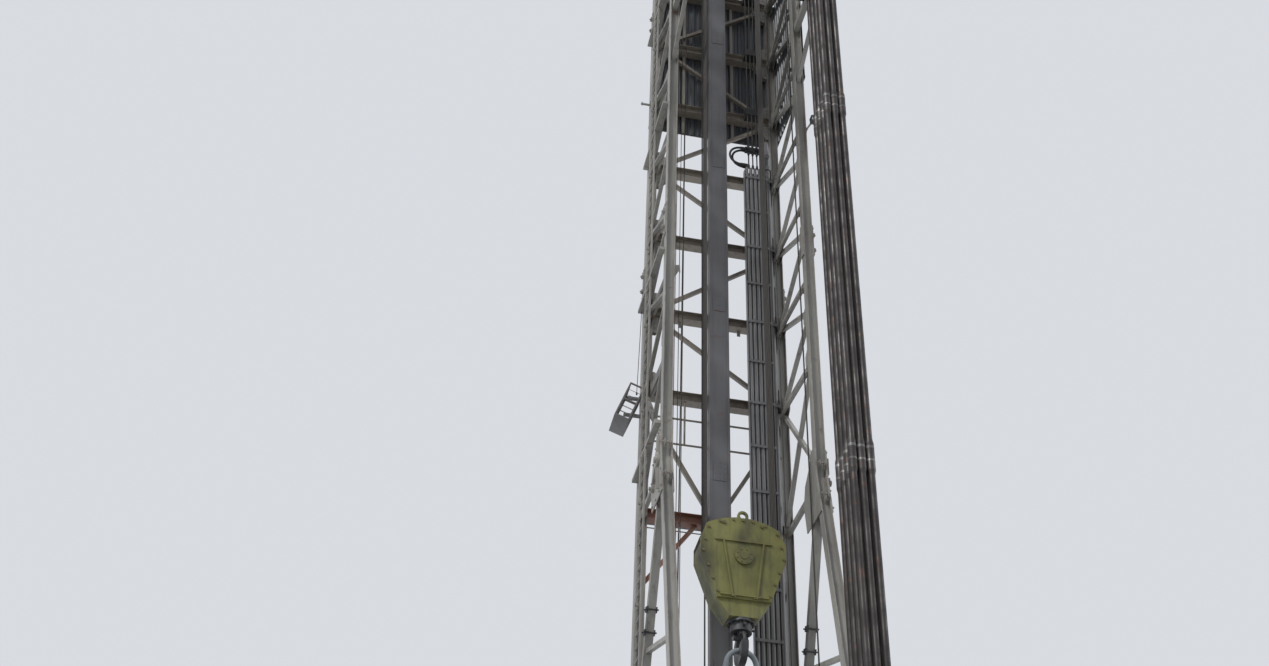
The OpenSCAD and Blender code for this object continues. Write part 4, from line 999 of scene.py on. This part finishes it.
# %% Travelling block fittings
SHEAVES_LOW, SHEAVES_HIGH = corners("block_sheaves")
SHAFT_Z = (SHEAVES_LOW.z + SHEAVES_HIGH.z) / 2
SHEAVE_R = SHEAVES_HIGH.x - 0.020
CHEEK_Y = 0.157
BLOCK_RIM = ((0.40, 0.15), (0.36, 0.30), (0.24, 0.38), (0.10, 0.415), (0.42, 0.02), (0.37, -0.14),
             (0.32, -0.28), (0.27, -0.42), (0.10, -0.46))
s, bolts = Shape(), Shape()
cap = highest("block_frame")[1] - CHEEK_Y
top_r = SHEAVE_R + 0.052
for side in SIDES:
    both_at((s, bolts), 0, side * CHEEK_Y, SHAFT_Z, (1, side, 1))
    s.box((-0.30, 0, 0.160), (0.30, 0.018, 0.180))
    s.box((-0.25, 0, -0.455), (0.25, 0.018, -0.437))
    for way in SIDES:
        head, foot = way * 0.21, way * 0.125
        s.plate([(head - 0.009, 0.16), (head + 0.009, 0.16), (foot + 0.009, -0.47), (foot - 0.009, -0.47)],
                "y", 0, 0.022)
        for x, z in BLOCK_RIM:
            bolts.bolt((way * x, 0, z), Y, 0.015, 0.014)
    for at in ring((0, cap, 0), "y", 0.075, 8, TURN / 16):
        bolts.bolt(at, Y, 0.009, 0.006)
    bolts.rod((0, cap, 0), (0, cap + 0.006, 0), 0.040, 24)
    for a in map(math.radians, (62, 90, 118)):
        bolts.bolt((top_r * math.cos(a), 0, top_r * math.sin(a)), Y, 0.020, 0.016)
s.made("block_stiffeners", "block_paint", BLOCK)
bolts.made("block_bolts", "block_bolt_paint", BLOCK)

# %% The latch across the hook's mouth, the swivel's ring of bolts and its lock pin
s = Shape()
s.at(0, 0, SHAFT_Z - 0.92)
s.tube([(0, -0.045, 0.125), (0, -0.105, 0.105), (0, -0.140, 0.045), (0, -0.135, 0)], 0.017, 10)
s.rod((-0.045, -0.045, 0.122), (0.045, -0.045, 0.122), 0.020, 12)
for at in ring((0, 0, 0.230), "z", 0.122, 12):
    s.bolt(at, DOWN, 0.010, 0.012)
s.rod((0, -0.11, 0.185), (0, -0.155, 0.185), 0.014, 10)
s.rod((0.11, 0, 0.185), (0.150, 0, 0.185), 0.012, 10)
s.made("hook_fittings", "dark_steel", BLOCK)

# %% [markdown]
# The top drive hangs in the hook's bail. It turns the pipe, and its body is a gear case with two upright
# motors, a brake on each, and a pipe handler under it. Flanges, cooling ribs and bolts are added to the plain
# solids, and loops and hoops to the links and the elevator below. The ribs stand out round each motor, so a
# ring of directions places them.

# %% Top drive fittings
TOP_DRIVE_Z = SHAFT_Z - 1.560
CASE_TOP, CASE_FOOT = -0.420, -0.800
s, dark = Shape(), Shape()
for side in SIDES:
    both_at((s, dark), 0, 0, TOP_DRIVE_Z, (side, 1, 1))
    x, y = 0.150, 0.095
    for out in map(Vector, ring((0, 0, 0), "z", 1, 12)):
        s.fin(Vector((x, y, CASE_TOP + 0.05)) + 0.098 * out, 0.012 * out, Vector((0, 0, 0.29)), 0.003)
    s.rod((x, y, CASE_TOP), (x, y, CASE_TOP + 0.030), 0.115, 24)
    dark.rod((x, y, 0.018), (x, y, 0.040), 0.055, 20)
    for z in (CASE_FOOT + 0.02, CASE_TOP - 0.05):
        s.box((0.318, -0.16, z), (0.330, 0.19, z + 0.03))
        for y in row(-0.14, 0.06, 6):
            dark.bolt((0.330, y, z + 0.015), X, 0.010, 0.010)
    dark.rod((0.25, 0, 0.044), (0.335, 0, 0.044), 0.022, 16)
    for z in (-0.53, -0.61):
        s.rod((0.15, -0.205, z), (0.15, -0.190, z), 0.030, 16)
s.box((-0.26, -0.208, CASE_FOOT + 0.04), (0.26, -0.199, CASE_TOP - 0.04))
for x, z in product(row(-0.24, 0.06, 9), (CASE_TOP - 0.055, CASE_FOOT + 0.055)):
    dark.bolt((x, -0.208, z), BACK)
for z in (CASE_FOOT - 0.16, CASE_FOOT - 0.44):
    dark.rod((0, 0, z - 0.012), (0, 0, z + 0.012), 0.200, 32)
for at in ring((0, 0, CASE_FOOT - 0.480), "z", 0.17, 16):
    dark.bolt(at, DOWN, 0.009, 0.010)
dark.rod((0, 0.210, CASE_TOP + 0.13), (0, 0.210, CASE_TOP + 0.19), 0.055, 16)
dark.rod((0, 0, CASE_TOP + 0.36), (0, 0, CASE_TOP + 0.40), 0.058, 16)
s.made("top_drive_fittings", "block_paint", BLOCK)
dark.made("top_drive_bolts", "dark_steel", BLOCK)

# %% Elevator fittings
s = Shape()
s.at(0, 0, TOP_DRIVE_Z - 2.5)
for x in (-0.18, 0.18):
    s.tube(arc((x, 0, 0.02), (0.045, 0, 0), (0, 0, 0.065), TURN, 16), 0.017, 8)
    s.rod((x, 0, 0.90), (x, 0, 0.94), 0.036, 16)
for z in (-0.055, 0.055):
    s.rod((0, 0, z - 0.008), (0, 0, z + 0.008), 0.215, 32)
s.rod((0, -0.225, -0.075), (0, -0.225, 0.075), 0.018, 12)
for z in (-0.05, 0.02):
    s.box((-0.03, -0.235, z), (0.03, -0.195, z + 0.03))
s.made("elevator_fittings", "dark_steel", BLOCK)

# %% [markdown]
# The drilling line is one rope, reeved back and forth between the block and the crown. Its straight parts
# shorten as the block rises. Here they are drawn as straight tubes from the block's sheaves up to the
# crown's, each with many rings along it. The half turns round the sheaves are pieces of their own, because
# they keep their shape.

# %% Drilling line
LINE_R = 0.00875
SHEAVE_PITCH = 0.050
CROWN_SHAFT_Z = TOP_Z + 0.560
LEAD_R = 0.44
LEAD_FRONT_Y = REAR_Y + GIRT / 2 + 0.003 - 2 * LEAD_R
BLOCK_ROWS = row(-2 * SHEAVE_PITCH, SHEAVE_PITCH, 5)
CROWN_ROWS = [y + SHEAVE_PITCH / 2 for y in BLOCK_ROWS[:-1]]
RINGS = 48
s = Shape()
for y, front in zip(BLOCK_ROWS, [*CROWN_ROWS, LEAD_FRONT_Y]):
    for side, end in ((-1, front), (1, y - SHEAVE_PITCH / 2)):
        low, high = Vector((side * SHEAVE_R, y, SHAFT_Z)), Vector((side * SHEAVE_R, end, CROWN_SHAFT_Z))
        s.tube([low.lerp(high, k / RINGS) for k in range(RINGS + 1)], LINE_R, 8)
piece = s.made("drilling_line", "rope_steel", None)
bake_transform(piece)
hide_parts("drill_lines")

# %% [markdown]
# A half turn is an arc of the same tube, and it belongs to the body that carries its sheave. Five go under
# the block's sheaves and four over the crown's. A larger sheave of the crown sends the lead line down to the
# drum, and a smaller one the dead line to its anchor.

# %% Turns of the line under the block's sheaves
s = Shape()
for y in BLOCK_ROWS:
    s.tube(arc((0, y, SHAFT_Z), (SHEAVE_R, 0, 0), (0, 0, -SHEAVE_R), math.pi, 32), LINE_R, 8)
s.made("block_line_turns", "rope_steel", BLOCK)

# %% Turns of the line over the crown's sheaves
DEAD_R = 0.19
s = Shape()
dead_line = (SHEAVE_R + DEAD_R, BLOCK_ROWS[0] - SHEAVE_PITCH / 2, DEAD_R)
for x, y, r in [(0, y, SHEAVE_R) for y in CROWN_ROWS] + [dead_line]:
    s.tube(arc((x, y, CROWN_SHAFT_Z), (r, 0, 0), (0, 0, r), math.pi, 32), LINE_R, 8)
lead_line = (-SHEAVE_R, LEAD_FRONT_Y + LEAD_R, CROWN_SHAFT_Z + 0.15)
s.tube(arc(lead_line, (0, -LEAD_R, 0), (0, 0, LEAD_R), math.pi, 32), LINE_R, 8)
s.made("crown_line_turns", "rope_steel")

# %% [markdown]
# The crown carries every sheave shaft in bolted bearing caps. Below its beams hang two timber bumpers, so
# that a block pulled too high strikes wood first. The platforms are grating on tapered brackets. A tapered
# plate is the plain way to a bracket: its outline is four points, and its thickness is the steel's.

# %% Crown fittings
DECK_LOW, DECK_HIGH = corners("crown_platform")
CROWN_DECK_Z = DECK_LOW.z + 0.020
REAR_BEAM_Y = LEAD_FRONT_Y + LINE_R + 0.065
BUMPER_BRACKET = [(0.785, -0.30), (0.765, -0.30), (0.55, 0), (0.55, 0.09), (0.785, 0.09)]
s, wood, plate = Shape(), Shape(), Shape()
for y in (FRONT_Y, REAR_BEAM_Y):
    for side in SIDES:
        s.at(0, y, CROWN_SHAFT_Z, (1, side, 1))
        s.rod((0, 0.040, 0), (0, 0.052, 0), 0.075, 24)
        for at in ring((0, 0.052, 0), "y", 0.058, 6):
            s.bolt(at, Y, 0.011, 0.010)
    s.at(0, y, TOP_Z)
    for x in (-0.85, -0.6, 0.6, 0.85):
        s.box((x - 0.008, -0.075, 0.092), (x + 0.008, 0.075, 0.268))
for side in SIDES:
    both_at((s, wood), 0, 0, TOP_Z, (side, 1, 1))
    s.plate(BUMPER_BRACKET, "y", FRONT_Y - 0.006, 0.012)
    for y in (-0.17, 0.20):
        s.box((0.19, y - 0.02, 0.012), (0.41, y + 0.02, 0.020))
    wood.box((0.20, -0.19, 0.02), (0.40, REAR_BEAM_Y - 0.03, 0.09))
    s.at(0, 0, CROWN_DECK_Z, (side, 1, 1))
    edge = DECK_HIGH.x - 0.01
    for y in row(DECK_LOW.y + 0.05, (DECK_HIGH.y - DECK_LOW.y - 0.1) / 4, 5):
        s.plate([(0.90, -0.02), (edge, -0.02), (edge, -0.05), (0.90, -0.16)], "y", y - 0.005, 0.010)
for left, right in ((DECK_LOW.x, -LEG_X), (LEG_X, DECK_HIGH.x)):
    grating(plate, (left, DECK_LOW.y), (right, DECK_HIGH.y), CROWN_DECK_Z)
s.made("crown_fittings", "mast_paint")
wood.made("crown_bumpers", "timber")
plate.made("crown_grating", "deck_paint")

# %% [markdown]
# The drawworks is the winch at the back of the floor. Its drum carries the line in neat turns between two
# brake flanges. Motors sit at both ends, and the housings have bolted covers, vents and lifting eyes. A helix
# would be one long tube, but each turn here moves one lay along, which looks the same and is easy to count.

# %% Line on the drawworks drum
DRUM_LOW, DRUM_HIGH = corners("drawworks_drum")
DRUM_Y, DRUM_Z = (DRUM_LOW.y + DRUM_HIGH.y) / 2, (DRUM_LOW.z + DRUM_HIGH.z) / 2
TURN_R, LAY = 0.20 + LINE_R, 0.019
s = Shape()
for left in steps(DRUM_LOW.x + 0.075, DRUM_HIGH.x - 0.075, LAY):
    turn = arc((left, DRUM_Y, DRUM_Z), (0, TURN_R, 0), (0, 0, TURN_R), TURN, 24)
    s.tube([(x + LAY * k / 24, y, z) for k, (x, y, z) in enumerate(turn)], LINE_R, 5)
s.made("drum_line_turns", "rope_steel")

# %% Housings and motors of the drawworks
WORKS_LOW, WORKS_HIGH = corners("drawworks")
MOTOR_Z = FLOOR_Z + 0.320
LIFTING_EYE = ((-0.03, 0, -0.001), (-0.03, 0, 0.03), (0, 0, 0.055), (0.03, 0, 0.03), (0.03, 0, -0.001))
half, back, top = WORKS_HIGH
face, mid = WORKS_LOW.y + 0.030, (half * 1.5 - 0.26) / 2
s, dark = Shape(), Shape()
for side in SIDES:
    both_at((s, dark), 0, 0, FLOOR_Z, (side, 1, 1))
    s.box((mid - 0.13, face - 0.012, 0.20), (mid + 0.13, face, 0.72))
    for x, z in product((-0.115, 0, 0.115), (0.22, 0.46, 0.70)):
        dark.bolt((mid + x, face - 0.012, z), BACK, 0.010, 0.010)
    for z in row(0.41, 0.035, 7):
        s.box((mid - 0.10, back - 0.030, z), (mid + 0.10, back - 0.018, z + 0.012))
    for x in (mid - 0.12, mid + 0.12):
        s.at(side * x, DRUM_Y, top)
        s.tube(LIFTING_EYE, 0.009, 8)
    s.at(0, DRUM_Y, MOTOR_Z, (side, 1, 1))
    for out in map(Vector, ring((0, 0, 0), "x", 1, 18)):
        if out.z > -0.8:
            s.fin(Vector((half - 0.24, 0, 0)) + 0.178 * out, 0.018 * out, Vector((0.18, 0, 0)), 0.004)
    s.rod((half - 0.032, 0, 0), (half - 0.010, 0, 0), 0.150, 24)
    s.box((half - 0.18, -0.07, 0.175), (half - 0.08, 0.07, 0.255))
    dark.at(side * half / 2, DRUM_Y, DRUM_Z, (-side, 1, 1))
    dark.rod((0.002, 0, 0), (0.012, 0, 0), 0.13, 24)
s.at(0, WORKS_LOW.y, FLOOR_Z)
for x in row(-half + 0.08, (2 * half - 0.16) / 14, 15):
    s.box((x - 0.006, 0, 0.004), (x + 0.006, 0.012, 0.116))
s.made("drawworks_fittings", "machine_paint")
dark.made("drawworks_bolts", "dark_steel")

# %% [markdown]
# The rig floor is steel plate over beams, and the joints between its plates are thin raised welds. Round the
# rotary table runs a bolted ring, with the bowl's lugs inside it. The mats are planks, so that pipe stands on
# wood, and a strap holds them at each end. Each of these stands only 2 to 16 mm high, which is enough to
# catch the light where a flat colour would not.

# %% Welds of the floor
PLATES_LOW, PLATES_HIGH = corners("rig_floor")
WELD = 0.004
s = Shape()
s.at(0, 0, FLOOR_Z)
left, right, front = PLATES_LOW.x, PLATES_HIGH.x, PLATES_LOW.y
for x in row(left, (right - left) / 4, 4)[1:]:
    for y0, y1 in ((front + 0.05, -0.56), (0.56, 1.55)):
        s.box((x - WELD, y0, 0), (x + WELD, y1, 0.003))
for y in (-1.35, 1.30):
    s.box((left + 0.05, y - WELD, 0), (right - 0.05, y + WELD, 0.003))
s.made("floor_welds", "deck_paint")

# %% Bolts, lugs and rings of the rotary table
BORE_R = 0.238
s = Shape()
s.at(0, 0, highest("rotary_table")[2])
for at in ring((0, 0, 0), "z", 0.42, 16, TURN / 32):
    s.bolt(at, Z, 0.013, 0.012)
for x, y, z in ring((0, 0, 0), "z", BORE_R + 0.06, 4, TURN / 8):
    s.rod((x, y, 0), (x, y, 0.016), 0.030, 16)
for r, wide in ((BORE_R + 0.010, 0.012), (0.36, 0.010)):
    s.tube(arc((0, 0, 0), (r, 0, 0), (0, r, 0), TURN, 48), wide, 6)
s.made("rotary_fittings", "dark_steel")

# %% Planks and straps of the setback mats
MATS_LOW, MATS_HIGH = corners("setback_mats")
planks, straps = Shape(), Shape()
top, inner, outer, plank, gap = MATS_HIGH.z, 0.28, MATS_HIGH.x, 0.110, 0.006
for side in SIDES:
    both_at((planks, straps), 0, 0, top, (side, 1, 1))
    for y in steps(MATS_LOW.y + 0.004, MATS_HIGH.y - 0.05, plank + gap):
        planks.box((inner, y, -0.001), (outer, min(y + plank, MATS_HIGH.y), 0.002))
    for x in (inner + 0.05, outer - 0.05):
        straps.box((x - 0.020, MATS_LOW.y, 0), (x + 0.020, MATS_HIGH.y, 0.005))
planks.made("mat_planks", "timber")
straps.made("mat_straps", "dark_steel")

# %% [markdown]
# Round tubes are what a hand holds, so the square handrails of the frame get a round bead on top, feet under
# each post, and a toe board at the floor's edge. The back rail runs along X and the side rails along Y, so a
# small helper puts the coordinates in order and one loop makes all three.

# %% Handrail fittings
def spot(along, far, across, z):
    return Vector((across, far, z) if along else (far, across, z))


s, boards = Shape(), Shape()
for node, along in (("floor_rail_left", 1), ("floor_rail_right", 1), ("floor_rail_back", 0)):
    low, high = corners(node)
    start, end, top = low[along], high[along], high.z
    mid = (low[1 - along] + high[1 - along]) / 2
    for far in row(start + 0.0125, (end - start - 0.025) / 6, 7):
        foot = spot(along, far, mid, FLOOR_Z)
        s.box(foot - Vector((0.024, 0.024, 0)), foot + Vector((0.024, 0.024, 0.010)))
        s.rod(spot(along, far, mid, top - 0.004), spot(along, far, mid, top + 0.006), 0.015, 10)
    s.rod(spot(along, start, mid, top - 0.0125), spot(along, end, mid, top - 0.0125), 0.0165, 10)
    inner = mid - math.copysign(0.016, mid)
    boards.box(spot(along, start, inner - 0.003, FLOOR_Z),
               spot(along, end, inner + 0.003, FLOOR_Z + TOE_HEIGHT))
s.made("rail_fittings", "rail_yellow")
boards.made("floor_toe_boards", "rail_yellow")

# %% [markdown]
# The substructure is bolted and pinned from box frames. Gusset plates cover the ends of its diagonals,
# stiffeners stand in the base beams and the top beams, and long pins join the boxes to the spreaders between
# them. One outline serves every post: it is mirrored for the other face and for the post's head, and cut
# short on its outer side at a corner.

# %% Substructure fittings
SUB_LOW, SUB_HIGH = corners("substructure_right")
POST, SUB_BEAM = 0.160, 0.200
SUB_PLATE = 0.006
STATIONS = [(2 * SUB_HIGH.y - POST) * (i / 3 - 0.5) for i in range(4)]
WEB_STEP, WEB_HALF = 0.35, SUB_BEAM / 2 - 0.012
s, bolts = Shape(), Shape()
webs = [y for y in steps(STATIONS[0] + WEB_STEP, STATIONS[3] - 0.2, WEB_STEP)
        if min(abs(y - station) for station in STATIONS) > 0.30]
for side, plane, way in product(SIDES, (SUB_LOW.x + POST / 2, SUB_HIGH.x - POST / 2), SIDES):
    face = side * plane + way * POST / 2
    for (k, y), (z, up) in product(enumerate(STATIONS), ((SUB_BEAM, 1), (SUB_HIGH.z - SUB_BEAM, -1))):
        both_at((s, bolts), face, y, z, (way, 1, up))
        left, right = 0.26 if k else 0.08, 0.26 if k < 3 else 0.08
        s.plate([(-left, -0.10), (right, -0.10), (right, 0.03), (0.07, 0.30), (-0.07, 0.30), (-left, 0.03)],
                "x", 0, SUB_PLATE)
        for at in ((-0.04, -0.05), (0.04, -0.05), (-0.04, 0.08), (0.04, 0.08), (0, 0.2)):
            bolts.bolt((SUB_PLATE, *at), X, 0.013, 0.007)
    for y, z in product(webs, (SUB_BEAM / 2, SUB_HIGH.z - SUB_BEAM / 2)):
        s.at(side * plane, y, z, (way, 1, 1))
        s.box((0, -0.005, -WEB_HALF), (POST / 2, 0.005, WEB_HALF))
for side, end, z in product(SIDES, SIDES, (0.06, 0.14)):
    bolts.at(side * (SUB_LOW.x - 0.05), end * (SUB_HIGH.y - 0.20), z)
    bolts.rod((0, -0.10, 0), (0, 0.10, 0), 0.020, 12)
s.made("substructure_gussets", "base_paint")
bolts.made("substructure_bolts", "base_bolt_paint")

# %% Bolts of the mast shoes
s = Shape()
for side, y in product(SIDES, (-FOOT_REACH, REAR_Y)):
    s.at(side * LEG_X, y, FLOOR_Z + 0.055)
    for x, y in product((-LEG / 2 - 0.025, LEG / 2 + 0.025), (-0.05, 0.05)):
        s.bolt((x, y, 0), Z, 0.013, 0.014)
s.made("shoe_bolts", "dark_steel")

# %% [markdown]
